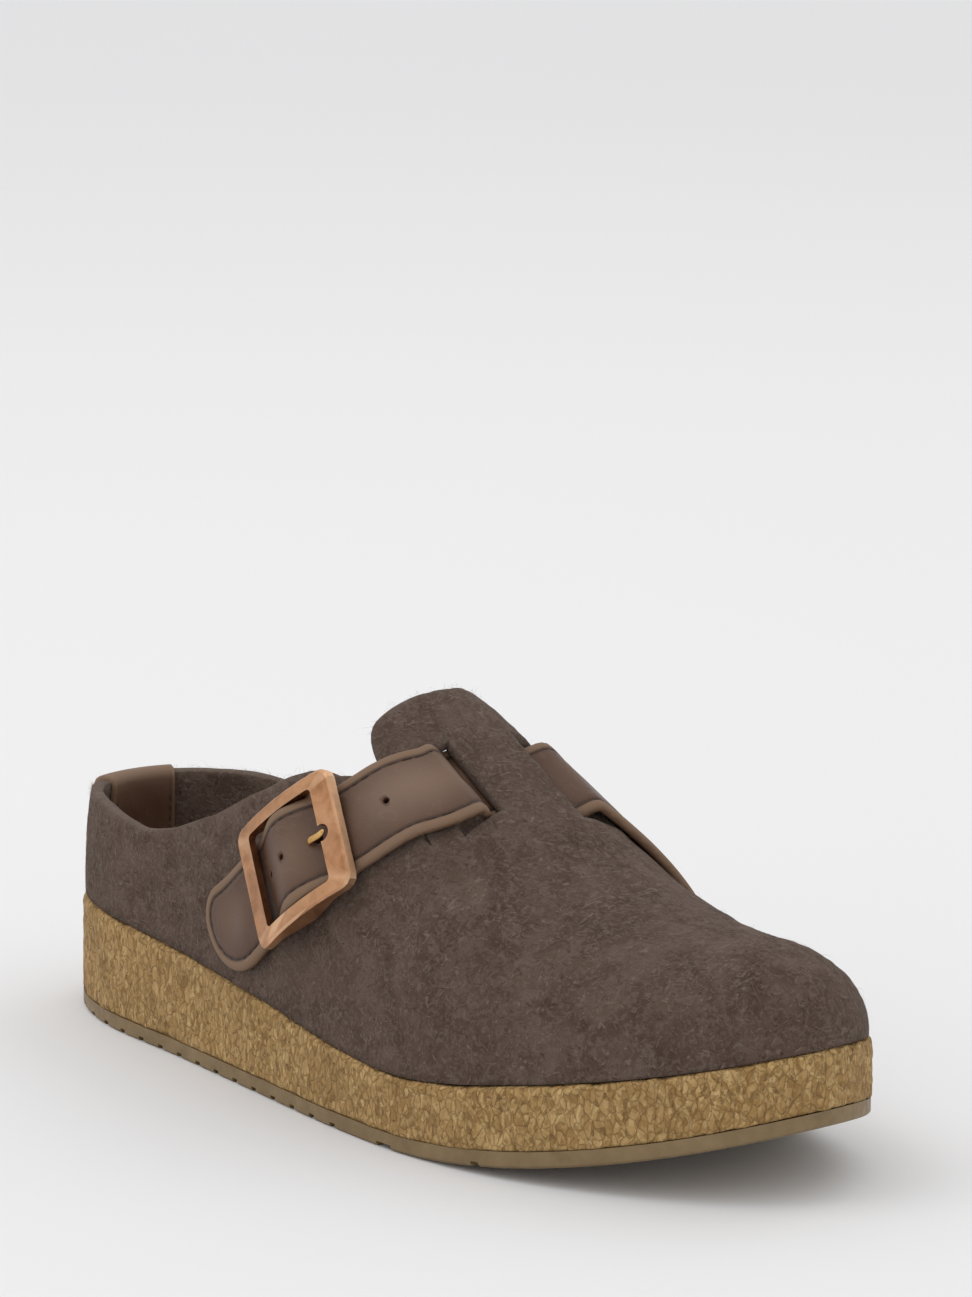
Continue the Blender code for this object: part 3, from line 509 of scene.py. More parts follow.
def fibre_material():
    n = Nodes("felt_fibre")
    colour = n.ramp(n.noise(140, 2), (0.35, (0.11, 0.080, 0.064)), (0.65, (0.34, 0.28, 0.24)))
    return n.finish(colour, 0.8, Specular_IOR_Level=0.2)


def cork_material():
    n = Nodes("cork_grain")
    tall = n.stretch((1.0, 1.0, 0.62))
    warped = n.add("ShaderNodeVectorMath", operation="ADD")
    wobble = n.add("ShaderNodeTexNoise")
    n.put(wobble.inputs["Vector"], tall)
    wobble.inputs["Scale"].default_value = 300
    scaled = n.add("ShaderNodeVectorMath", operation="SCALE")
    n.put(scaled.inputs[0], wobble.outputs["Color"])
    scaled.inputs["Scale"].default_value = 0.0022
    n.put(warped.inputs[0], tall)
    n.put(warped.inputs[1], scaled.outputs[0])
    vector = warped.outputs[0]
    big = n.cells(520, vector, output="Color")
    small = n.cells(1150, vector, output="Color")
    seam = n.cells(520, vector, "DISTANCE_TO_EDGE")
    base = n.ramp(big, (0.0, (0.165, 0.088, 0.027)), (0.35, (0.335, 0.198, 0.066)),
                  (0.7, (0.47, 0.30, 0.118)), (1.0, (0.62, 0.43, 0.20)))
    fine = n.ramp(small, (0.0, (0.150, 0.078, 0.024)), (0.45, (0.355, 0.212, 0.074)),
                  (1.0, (0.64, 0.455, 0.22)))
    base = n.mix(0.6, base, fine)
    base = n.mix(n.band(n.noise(900, 4, 0.7), 0.30, 0.44, 0.65, 0.0), base, (0.095, 0.045, 0.013))
    base = n.mix(n.band(seam, 0.0, 0.07, 0.45, 0.0), base, (0.110, 0.056, 0.017))
    base = n.mix(n.band(n.noise(60, 3), 0.35, 0.7, 0.0, 0.25), base, (0.20, 0.108, 0.036))
    pits = n.math("ADD", n.math("MULTIPLY", n.noise(800, 5, 0.7), 1.0), n.band(seam, 0.0, 0.12, 0.0, 0.5))
    return n.finish(base, 0.82, n.bump(pits, 0.0006, 0.8), Specular_IOR_Level=0.3)


def rubber_material():
    n = Nodes("rubber_tan")
    base = n.ramp(n.noise(160, 4, 0.6), (0.3, (0.165, 0.108, 0.046)), (0.7, (0.225, 0.152, 0.070)))
    return n.finish(base, n.band(n.noise(500, 3), 0.3, 0.7, 0.42, 0.6), n.bump(n.noise(900, 3), 0.0002, 0.5),
                    Specular_IOR_Level=0.45)


def leather_material():
    n = Nodes("leather_brown")
    cloud = n.noise(70, 4, 0.55, 0.6)
    painted_highlight = n.attribute("painted_highlight")
    edge = n.attribute("edge")
    base = n.ramp(cloud, (0.3, (0.062, 0.026, 0.013)), (0.7, (0.094, 0.046, 0.025)))
    # painted highlight: paler leather where light shines on the strap's top and on the heel patch's fold
    base = n.mix(n.math("MULTIPLY", painted_highlight, 0.8), base, (0.205, 0.132, 0.090))
    base = n.mix(n.math("MULTIPLY", edge, 0.75), base, (0.225, 0.140, 0.085))
    # painted shade: near-black colour in the stitch grooves, where shade falls
    groove_shade = n.attribute("groove_shade")
    base = n.mix(n.math("MULTIPLY", groove_shade, 0.85), base, (0.020, 0.009, 0.005))
    fine = n.noise(1600, 4, 0.65)
    scuff = n.noise(240, 5, 0.7, 1.2, n.stretch((0.5, 1, 1), (0, 0.9, 0.4)))
    base = n.mix(n.band(scuff, 0.55, 0.75, 0.0, 0.25), base, (0.21, 0.145, 0.105))
    rough = n.math("ADD", n.band(cloud, 0.3, 0.7, 0.46, 0.58), n.math("MULTIPLY", edge, 0.1))
    normal = n.bump(fine, 0.00022, 0.5, n.bump(scuff, 0.0003, 0.3))
    return n.finish(base, rough, normal, Specular_IOR_Level=0.32)


def thread_material():
    n = Nodes("thread_dark")
    colour = n.ramp(n.noise(900, 2), (0.3, (0.022, 0.013, 0.009)), (0.7, (0.050, 0.032, 0.023)))
    return n.finish(colour, 0.75)


def suede_material():
    n = Nodes("suede_footbed")
    colour = n.ramp(n.noise(90, 4, 0.6), (0.3, (0.17, 0.115, 0.078)), (0.7, (0.25, 0.175, 0.125)))
    colour = n.mix(n.band(n.noise(1300, 3, 0.7), 0.4, 0.7, 0.0, 0.5), colour, (0.32, 0.24, 0.18))
    return n.finish(colour, 0.92, n.bump(n.noise(1600, 3, 0.7), 0.0003, 0.6), Sheen_Weight=0.2)


def bronze_material():
    n = Nodes("bronze_satin")
    worn = n.band(n.add("ShaderNodeNewGeometry").outputs["Pointiness"], 0.50, 0.56)
    patina = n.noise(170, 5, 0.6, 0.5)
    base = n.ramp(patina, (0.30, (0.26, 0.115, 0.048)), (0.55, (0.44, 0.215, 0.105)),
                  (0.75, (0.56, 0.30, 0.165)))
    base = n.mix(n.math("MULTIPLY", worn, 0.7), base, (0.80, 0.53, 0.33))
    rough = n.band(n.noise(420, 4, 0.6), 0.3, 0.7, 0.34, 0.5)
    return n.finish(base, rough, n.bump(n.noise(700, 4, 0.6), 0.00015, 0.5), Metallic=1.0)


def brass_material():
    n = Nodes("brass_prong")
    base = n.ramp(n.noise(400, 3), (0.3, (0.44, 0.24, 0.08)), (0.7, (0.72, 0.45, 0.17)))
    return n.finish(base, 0.3, Metallic=1.0)


FELT = felt_material()
FIBRE = fibre_material()
CORK_LOOK = cork_material()
RUBBER = rubber_material()
LEATHER = leather_material()
THREAD = thread_material()
SUEDE = suede_material()
BRONZE = bronze_material()
BRASS = brass_material()


# ---------------------------------------------------------------- sole

def sole_walk(count):
    q = np.concatenate([np.arange(count) / count, 1 - np.arange(count) / count])
    side = np.concatenate([-np.ones(count), np.ones(count)])
    return q, side


def build_midsole():
    count = 260
    q, side = sole_walk(count)
    share = share_at(q)
    low = rubber_top(share) + CORK_SEAT
    high = cork_top(share)
    coarse, fine = Wave(0.011), Wave(0.0028)
    profile = [(0.0007, 0.0, 0), (0.0002, 0.0, 0.0001), (0.0, 0.0, 0.0006)]
    profile += [(0.0, t, 0) for t in np.linspace(0.06, 0.90, 12)]
    profile += [(0.0001, 1.0, -0.0011), (0.0004, 1.0, -0.0005), (0.0009, 1.0, -0.00012), (0.0018, 1.0, 0.0),
                (0.0060, 1.0, 0.0)]
    rings = []
    for inset, share_up, add in profile:
        z = low + (high - low) * share_up + add
        rings.append(np.concatenate([outline(q, side, inset), z[:, None]], axis=1))
    points = np.array(rings)
    reach = 0.001
    outward = (outline(q, side) - outline(q, side, reach)) / reach
    rough = 0.00014 * coarse(points) + 0.00011 * fine(points) - 0.00010
    rough[[0, -1]] = 0.0
    points[..., :2] += outward[None] * rough[..., None]
    top = np.array([1.0 if p[1] >= 1.0 and p[0] < 0.003 else 0.0 for p in profile])
    points[..., 2] += top[:, None] * np.minimum(rough, 0.00004)
    columns = 2 * count
    faces = ring_faces(0, len(profile), columns)
    for start, turn in ((0, -1), ((len(profile) - 1) * columns, 1)):
        for i in range(count):
            corners = dict.fromkeys([i, i + 1, (columns - i - 1) % columns, (columns - i) % columns])
            faces.append(tuple(start + c for c in corners)[::turn])
    obj = make("cork_midsole", points.reshape(-1, 3), faces, CORK_LOOK)
    return place(obj, "cork", "midsole")


def paint(node, material):
    node.data.materials.clear()
    node.data.materials.append(material)


def round_edges(name, material, width, segments, degrees):
    """Keeps the part's own solid of a node and rounds its edges."""
    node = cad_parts[name]
    weld = node.modifiers.new("weld", "WELD")
    weld.merge_threshold = WELD_REACH
    bevel = node.modifiers.new("bevel", "BEVEL")
    bevel.width = width
    bevel.segments = segments
    bevel.limit_method = "ANGLE"
    bevel.angle_limit = math.radians(degrees)
    paint(node, material)
    return bevel


def inside_felt(q, side, rise):
    share = share_at(q)
    a = across_at_rise(ridge_station(share), rise, side)
    return last_point(q, a) - last_normal(q, a) * (FELT_WALL + GAP)


def build_footbed():
    rows, columns = 180, 30
    q = np.linspace(0, 1, rows + 1)
    share = share_at(q)
    heel = np.maximum(0.0, 1 - share / HEEL_CUP_END)
    wall = FOOTBED_THICKNESS + (FOOTBED_WALL - FOOTBED_THICKNESS) * heel
    outer, inner = inside_felt(q, -1, wall), inside_felt(q, 1, wall)
    for i in (0, rows):
        outer[i] = inner[i] = (outer[i] + inner[i]) / 2
    floor = felt_bottom(share)
    t = np.linspace(0, 1, columns + 1)
    grid = outer[:, None] * (1 - t[None, :, None]) + inner[:, None] * t[None, :, None]
    span = np.linalg.norm(inner - outer, axis=1)
    cup = (1 - (2 * t[None] - 1) ** 4) * smooth(span / HALF_BALL)[:, None]
    arch = np.exp(-(((share - ARCH_SHARE) / ARCH_SPREAD) ** 2))[:, None]
    arch = arch * np.maximum(0.0, 2 * t - 1)[None] ** 1.5
    rim = ((outer[:, 2] + inner[:, 2]) / 2 - floor)[:, None]
    grid[..., 2] = floor[:, None] + rim + (FOOTBED_THICKNESS - rim) * cup + ARCH_SUPPORT * arch * cup
    inset = FELT_INSET + FELT_WALL + GAP
    feet = [np.concatenate([outline(q, s, inset), floor[:, None]], axis=1) for s in (-1, 1)]
    points = np.concatenate([feet[0][:, None], grid, feet[1][:, None]], axis=1)
    count = columns + 3
    faces = ring_faces(0, rows + 1, count, closed=True)
    obj = make("footbed", points.reshape(-1, 3), faces, SUEDE)
    return place(obj, "footbed_suede", "insole")


# ---------------------------------------------------------------- felt

def slot_width():
    run = STRAP_THICKNESS / math.sin(STRAP_SLOPE) + FELT_WALL / math.tan(STRAP_SLOPE)
    return run + 3 * STRAP_GAP + SLOT_SPARE


def opening_line(side):
    last_share = COLLAR[-1][0]
    share = share_at(station(last_share) * np.linspace(0, 1, 90))
    rise = collar_share(share) * INSTEP_RISE
    line = list(zip(station(share), across_at_rise(ridge_station(share), rise, side)))
    corners = [(station(s), side * a) for s, a in CUT_BACK + CUT_FRONT + TONGUE]
    return line + round_path(corners)


def round_path(rows):
    """More points along the cut and the tongue's end, smoothed where the part's line bends softly."""
    rows = np.array(rows, float)
    out = []
    for group in (rows[:len(CUT_BACK)], rows[len(CUT_BACK):]):
        steps = np.concatenate([[0], np.cumsum(np.hypot(*(np.diff(group, axis=0) * (0.30, 0.085)).T))])
        along = np.linspace(0, steps[-1], int(steps[-1] / 0.0016) + 2)
        out += zip(*(curve(list(zip(steps, column)), 1)(along) for column in group.T))
    return out


def slot_loop(side):
    inner = BRIDGE_HALF_WIDTH
    outer = BRIDGE_HALF_WIDTH + slot_width()
    start, _, end = SLOTS[side]
    count = 16
    share = start + (end - start) * np.arange(count + 1) / count
    loop = list(zip(station(share), across_at_offset(share, inner, side)))
    back = share[::-1]
    i = np.arange(count + 1) / count
    turn = i if side > 0 else 1 - i
    far = list(zip(station(back), across_at_offset(back, outer + SLOT_FLARE * turn, side)))

    def between(one, two):
        return [(one[0] + (two[0] - one[0]) * t, one[1] + (two[1] - one[1]) * t)
                for t in np.linspace(0, 1, 8)[1:-1]]

    return loop + between(loop[-1], far[0]) + far + between(far[-1], loop[0])


def inside_loop(points, loop):
    """True where points lie inside a closed loop, by counting crossings."""
    points = np.atleast_2d(np.asarray(points, float))
    inside = np.zeros(len(points), bool)
    loop = np.asarray(loop, float)
    for (x0, y0), (x1, y1) in zip(loop, np.roll(loop, -1, axis=0)):
        if y0 == y1:
            continue
        hit = ((y0 > points[:, 1]) != (y1 > points[:, 1]))
        hit &= points[:, 0] < (x1 - x0) * (points[:, 1] - y0) / (y1 - y0) + x0
        inside ^= hit
    return inside


def felt_outline():
    sole_count, seam_count, heel_steps = 170, 60, 14
    outer, inner = opening_line(-1), opening_line(1)
    heel_outer, heel_inner = outer[0][1], inner[0][1]
    loop = [(i / sole_count, -1.0) for i in range(sole_count)]
    loop += [(1.0, -1 + i / seam_count) for i in range(2 * seam_count)]
    loop += [(1 - i / sole_count, 1.0) for i in range(sole_count)]
    loop += [(0.0, 1 + (heel_inner - 1) * i / heel_steps) for i in range(heel_steps)]
    loop += inner
    loop += outer[-2::-1]
    loop += [(0.0, heel_outer + (-1 - heel_outer) * i / heel_steps) for i in range(1, heel_steps)]
    return [(float(q), float(a)) for q, a in loop]


# share of length, place across, reach along and across (metres), turn in degrees, depth (metres)
CREASES = (
    (0.655, -0.10, 0.0040, 0.024, 8, 0.00035),
    (0.700, 0.16, 0.0060, 0.020, -14, 0.00035),
    (0.735, -0.34, 0.0070, 0.018, 24, 0.00035),
    (0.560, -0.50, 0.0050, 0.018, 60, 0.00040),
    (0.420, -0.80, 0.0140, 0.007, 10, 0.00035),
    (0.250, -0.78, 0.0050, 0.012, -8, 0.00045),
    (0.250, 0.78, 0.0050, 0.012, 8, 0.00045),
    (0.130, -0.80, 0.0060, 0.010, 0, 0.00030),
    (0.620, 0.62, 0.0050, 0.020, -30, 0.00040),
    (0.870, 0.10, 0.0060, 0.022, 5, 0.00030),
    (0.820, -0.50, 0.0090, 0.012, 30, 0.00025),
)


def crease_depth(points):
    depth = np.zeros(len(points))
    for share, a, along, across, turn, deep in CREASES:
        q = station(share)
        middle = last_point(q, a)
        normal = last_normal(q, a)
        run = unit(last_point(q + 0.01, a) - last_point(q - 0.01, a))
        side = np.cross(normal, run)
        angle = math.radians(turn)
        u = run * math.cos(angle) + side * math.sin(angle)
        v = side * math.cos(angle) - run * math.sin(angle)
        gap = points - middle
        near = np.exp(-((gap @ u) / along) ** 2 - ((gap @ v) / across) ** 2)
        ridge = np.exp(-((gap @ u - 1.7 * along) / along) ** 2 - ((gap @ v) / across) ** 2)
        depth += deep * (near - 0.45 * ridge)
    return depth


def face_cross(points, faces):
    first, second, third = points[faces.T]
    return np.cross(second - first, third - first)


def build_felt():
    """Felt with its slots, filled with triangles on a flat map of the last and bent onto it."""
    wide, high = SHOE_LENGTH * 1.12, INSTEP_RISE * 1.02
    loops = [felt_outline(), slot_loop(-1), slot_loop(1)]
    flat = [[(float(q) * wide, float(a) * high) for q, a in loop] for loop in loops]
    points = [p for loop in flat for p in loop]

    def on_felt(places):
        return inside_loop(places, flat[0]) & ~inside_loop(places, flat[1]) & ~inside_loop(places, flat[2])

    edges, start = [], 0
    for loop in flat:
        edges += [(start + i, start + (i + 1) % len(loop)) for i in range(len(loop))]
        start += len(loop)
    border = np.array(points)
    step = FELT_STEP
    rows = int(2 * high / (step * 0.866))
    columns = int(wide / step)
    grid = []
    for r in range(1, rows):
        x = wide * (np.arange(columns + 1) + (0.5 if r % 2 else 0.0)) / columns
        grid.append(np.stack([x, np.full(columns + 1, -high + 2 * high * r / rows)], axis=1))
    grid = np.concatenate(grid)
    grid = grid[on_felt(grid)]
    near = np.array([np.min(np.hypot(*(border - p).T)) for p in grid])
    grid = grid[near > step * 0.55]
    result = geometry.delaunay_2d_cdt([Vector(p) for p in [*points, *grid]], edges, [], 0, 1e-8)
    flat_points = np.array([tuple(p) for p in result[0]])
    faces = np.array([f for f in result[2] if len(f) == 3])
    faces = faces[on_felt(flat_points[faces].mean(axis=1))]
    outer = last_point(flat_points[:, 0] / wide, flat_points[:, 1] / high)
    # weld the seams at the heel and the toe
    _, first, index = np.unique(np.round(outer, 7), axis=0, return_index=True, return_inverse=True)
    outer = outer[first]
    faces = index.reshape(-1)[faces]
    faces = faces[(faces[:, 0] != faces[:, 1]) & (faces[:, 1] != faces[:, 2]) & (faces[:, 2] != faces[:, 0])]
    cross = face_cross(outer, faces)
    normal = np.zeros_like(outer)
    for k in range(3):
        np.add.at(normal, faces[:, k], cross)
    if normal[:, 2].sum() < 0:
        faces = faces[:, ::-1]
        normal = -normal
    normal = unit(normal)
    ends = np.concatenate([faces[:, [0, 1]], faces[:, [1, 2]], faces[:, [2, 0]]])
    both = {tuple(e) for e in ends.tolist()}
    rim = [e for e in both if (e[1], e[0]) not in both]
    rim_verts = sorted({v for e in rim for v in e})
    share = outer[:, 0] / SHOE_LENGTH + 0.5
    low_rim = np.zeros(len(outer), bool)
    low_rim[rim_verts] = outer[rim_verts, 2] < felt_bottom(share[rim_verts]) + GAP
    inward = normal.copy()
    inward[low_rim, 2] = 0
    inward = unit(inward)
    inner = outer - inward * FELT_WALL
    # soft waves, creases and nap, all biased inward so that the felt keeps clear of the strap
    soft, nap = Wave(0.030), Wave(0.0075, 40)
    fine = Wave(0.0034, 60)
    free = smooth((outer[:, 2] - felt_bottom(share)) / 0.004)
    lift = (0.00022 * soft(outer) + 0.00012 * nap(outer) + 0.00007 * fine(outer) - 0.00022) * free
    lift -= crease_depth(outer) * free
    outer = outer + normal * np.minimum(lift, 0.0001)[:, None]
    inner = inner + inward * (np.minimum(-0.00005 + 0.00008 * nap(inner), 0.0) * free)[:, None]
    # rim: a round edge between both faces
    out_way = np.zeros_like(outer)
    for i, j in rim:
        run = outer[j] - outer[i]
        away = np.cross(run, (normal[i] + normal[j]) / 2)
        out_way[i] += away
        out_way[j] += away
    out_way = unit(out_way)
    profile = ((0.12, 0.55), (0.35, 0.95), (0.65, 0.95), (0.88, 0.55))
    count = len(outer)
    rings, total = [], 2 * count
    lookup = {v: k for k, v in enumerate(rim_verts)}
    rv = np.array(rim_verts)
    bulge = np.where(low_rim[rv], SOLE_RIM_BULGE, RIM_BULGE)[:, None]
    extra = []
    for t, swell in profile:
        extra.append(outer[rv] * (1 - t) + inner[rv] * t + out_way[rv] * bulge * swell)
        rings.append(total)
        total += len(rv)
    points = np.concatenate([outer, inner] + extra)
    all_faces = [tuple(f) for f in faces] + [tuple(f[::-1] + count) for f in faces]
    for i, j in rim:
        chain_i = [i] + [start + lookup[i] for start in rings] + [i + count]
        chain_j = [j] + [start + lookup[j] for start in rings] + [j + count]
        for k in range(len(chain_i) - 1):
            all_faces.append((chain_j[k], chain_i[k], chain_i[k + 1], chain_j[k + 1]))
    edge = np.zeros(len(points))
    edge[2 * count:] = 1.0
    top = rv[~low_rim[rv]]
    edge[top] = 0.7
    edge[top + count] = 0.5
    for start in rings:
        edge[start:start + len(rv)][low_rim[rv]] = 0.0
    obj = make("felt_upper", points, all_faces, FELT, {"edge": edge})
    place(obj, "felt", "upper")
    cut_edge = [(outer[v], unit(out_way[v] + normal[v] * 0.3)) for v in rv if not low_rim[v]]
    return outer, normal, faces, cut_edge


def build_fibres(outer, normal, faces, rim):
    """Loose wool hairs that stand off the felt and its cut edge, each a thin three-sided thread."""
    area = np.linalg.norm(face_cross(outer, faces), axis=1)
    count = FIBRE_COUNT
    pick = RNG.choice(len(faces), count, p=area / area.sum())
    w = RNG.dirichlet((1, 1, 1), count)
    root = (outer[faces[pick]] * w[..., None]).sum(1)
    up = unit((normal[faces[pick]] * w[..., None]).sum(1))
    lean = unit(np.cross(up, RNG.normal(size=(count, 3))))
    height = RNG.uniform(0.00002, 0.00035, count)
    height += (RNG.random(count) < 0.06) * RNG.uniform(0.0, 0.0012, count)
    length = RNG.uniform(0.0012, 0.0046, count)
    more, more_up = (np.repeat(np.array(values), RIM_FIBRES, axis=0) for values in zip(*rim))
    more = more + RNG.normal(size=more.shape) * 0.0004
    more_up = unit(more_up + RNG.normal(size=more.shape) * 0.5)
    more_lean = unit(np.cross(more_up, RNG.normal(size=more.shape)))
    root = np.concatenate([root, more])
    up = np.concatenate([up, more_up])
    lean = np.concatenate([lean, more_lean])
    height = np.concatenate([height, RNG.uniform(0.0001, 0.0007, len(more))])
    length = np.concatenate([length, RNG.uniform(0.0004, 0.0018, len(more))])
    side = np.cross(up, lean)
    steps = 5
    t = np.linspace(0, 1, steps)
    curl = RNG.normal(size=len(root)) * 0.35
    path = (root[:, None] - up[:, None] * 0.0001
            + lean[:, None] * (length[:, None, None] * t[None, :, None])
            + side[:, None] * (length * curl)[:, None, None] * (t[None, :, None] ** 2)
            + up[:, None] * (height[:, None, None] * np.sin(t * 2.4)[None, :, None]))
    run = unit(np.gradient(path, axis=1))
    wide = unit(np.cross(run, up[:, None]))
    thin = (FIBRE_RADIUS * (1.15 - t))[None, :, None]
    corners = []
    for angle in (90, 210, 330):
        c, s = math.cos(math.radians(angle)), math.sin(math.radians(angle))
        corners.append(path + (wide * c + np.cross(wide, run) * s) * thin)
    points = np.stack(corners, axis=2).reshape(-1, 3)
    faces_out = []
    for i in range(len(root)):
        faces_out += ring_faces(i * steps * 3, steps, 3)
    mesh = bpy.data.meshes.new("felt_fibres")
    mesh.from_pydata(points.tolist(), [], faces_out)
    mesh.shade_smooth()
    mesh.materials.append(FIBRE)
    obj = bpy.data.objects.new("felt_fibres", mesh)
    bpy.context.scene.collection.objects.link(obj)
    return place(obj, "felt")


# ---------------------------------------------------------------- strap

BAR_HEIGHT = STRAP_GAP + LOOP_THICKNESS + GAP + BAR_RADIUS
RING_RADIUS = BAR_RADIUS + GAP + LOOP_THICKNESS
BUCKLE_RISE = BAR_HEIGHT + RING_RADIUS + 2 * GAP - STRAP_GAP
OVER_FELT = STRAP_GAP + STRAP_THICKNESS / 2
UNDER_FELT = -FELT_WALL - STRAP_GAP - STRAP_THICKNESS / 2


def strap_route():
    """Places (q, a, level) along the strap, from its inner end to its outer end."""
    middle = BRIDGE_HALF_WIDTH + (slot_width() + SLOT_SPARE / 2) / 2
    over = (middle + (OVER_FELT + FELT_WALL / 2) / math.tan(STRAP_SLOPE), OVER_FELT)
    under = (middle - (-UNDER_FELT - FELT_WALL / 2) / math.tan(STRAP_SLOPE), UNDER_FELT)
    outer, inner = SLOTS[-1][1], SLOTS[1][1]
    rows = [(station(s), a, OVER_FELT) for s, a in STRAP_INNER]
    rows += [(station(inner), across_at_offset(inner, offset, 1), level) for offset, level in (over, under)]
    rows.append((station((outer + inner) / 2), 0.0, UNDER_FELT))
    rows += [(station(outer), across_at_offset(outer, offset, -1), level) for offset, level in (under, over)]
    rows += [(station(s), a, OVER_FELT) for s, a in STRAP_OUTER]
    return [tuple(float(x) for x in row) for row in rows]


class Strap:
    """The strap's middle line on the last, read by distance from its inner end."""

    def __init__(self):
        rows = strap_route()
        places = last_point([r[0] for r in rows], [r[1] for r in rows])
        self.keys = np.concatenate([[0], np.cumsum(np.linalg.norm(np.diff(places, axis=0), axis=1))])
        self.levels = np.array([r[2] for r in rows])
        self.length = float(self.keys[-1])
        self.q_of = self.softened(curve([(k, r[0]) for k, r in zip(self.keys, rows)], 1))
        self.a_of = self.softened(curve([(k, r[1]) for k, r in zip(self.keys, rows)], 1))
        self.buckle = float(self.keys[len(rows) - len(STRAP_OUTER) + BUCKLE_ROW])

    def softened(self, value):
        """The mean of a curve over a short reach that shrinks to nothing at the strap's ends."""
        spread = np.linspace(-1, 1, 9)

        def mean(s):
            s = np.asarray(s, float)
            reach = STRAP_EASE * smooth(np.minimum(s, self.length - s) / (3 * STRAP_EASE))
            return np.mean([value(s + d * reach) for d in spread], axis=0)

        return mean

    def dive(self, q, a):
        """The strap's level where it goes through a slot: it turns down along the slot's own line."""
        offset = ridge_offset(q, a)
        spread = np.linspace(-0.0009, 0.0009, 7)
        keys = (BRIDGE_HALF_WIDTH + DIVE[0], BRIDGE_HALF_WIDTH + DIVE[1])
        return np.mean([np.interp(offset + d, keys, (UNDER_FELT, OVER_FELT)) for d in spread], axis=0)

    def lift(self, s):
        reach = np.abs(s - self.buckle) / (FRAME_LENGTH / 2 - FRAME_BAR_WIDTH * 0.7)
        return BUCKLE_RISE * (1 - smooth(reach))

    def seat(self, s, offset, height):
        """Places at a height over the strap's middle layer."""
        point, _, across, _, q, a = self.frame(s)
        q, a = on_last(point + across * np.asarray(offset)[..., None], q, a)
        level = self.dive(q, a) + self.lift(s)
        return last_point(q, a) + last_normal(q, a) * (level + height)[..., None]

    def level(self, s):
        return np.interp(s, self.keys, self.levels) + self.lift(s)

    def frame(self, s):
        q, a = self.q_of(s), self.a_of(s)
        step = 1e-3
        ahead = last_point(self.q_of(s + step), self.a_of(s + step))
        behind = last_point(self.q_of(s - step), self.a_of(s - step))
        normal = last_normal(q, a)
        along = ahead - behind
        along = unit(along - normal * (along * normal).sum(-1, keepdims=True))
        return last_point(q, a), along, np.cross(normal, along), normal, q, a


def corner(end, radius):
    short = np.maximum(radius - end, 0.0)
    return STRAP_WIDTH / 2 - radius + np.sqrt(np.maximum(radius**2 - short**2, 0.0))


def strap_edges(s, length):
    start = corner(s, STRAP_END_ROUND)
    rest = length - s
    return -np.minimum(start, corner(rest, TAB_UPPER_ROUND)), np.minimum(start, corner(rest, TAB_LOWER_ROUND))


def edge_distance(s, offset, length):
    """Distance of places on the strap to its outline."""
    line_s = length * (1 - np.cos(np.linspace(0, math.pi, 900))) / 2
    low, high = strap_edges(line_s, length)
    border = np.concatenate([np.stack([line_s, low], 1), np.stack([line_s, high], 1)])
    ends = [np.stack([np.full(12, x), np.linspace(lo, hi, 12)], 1)
            for x, lo, hi in ((0.0, low[0], high[0]), (length, low[-1], high[-1]))]
    border = np.concatenate([border] + ends)
    flat = np.stack([np.ravel(s), np.ravel(offset)], 1)
    out = np.empty(len(flat))
    for i in range(0, len(flat), 2000):
        gap = flat[i:i + 2000, None] - border[None]
        out[i:i + 2000] = np.sqrt((gap**2).sum(-1).min(1))
    return out.reshape(np.shape(s))


# distance from the strap's edge, height of its top face over its middle, both in millimetres
STRAP_TOP = ((0.0, 0.0), (0.10, 0.55), (0.35, 0.92), (0.80, 1.18), (1.50, 1.30), (2.15, 1.26), (2.55, 1.06),
             (2.85, 0.92), (3.15, 1.06), (3.60, 1.24), (4.60, 1.30), (12.3, 1.30))
STRAP_UNDER = ((0.0, 0.0), (0.10, 0.55), (0.35, 0.92), (0.80, 1.15), (1.50, 1.28), (12.3, 1.30))
# painted highlights, paler places where light shines on the strap's top: distance from the buckle along the
# strap and reach, offset and reach (millimetres), strength
PAINTED_HIGHLIGHTS = ((-34, 17, -1.5, 8, 1.0), (-1, 5, 1, 9, 0.55), (31, 8, -1, 7, 0.5), (-100, 22, 0, 9, 0.8))
PRONG_HOLE = -0.0088
HOLES = (-0.0268, -0.0145, PRONG_HOLE, 0.0003, 0.0078)


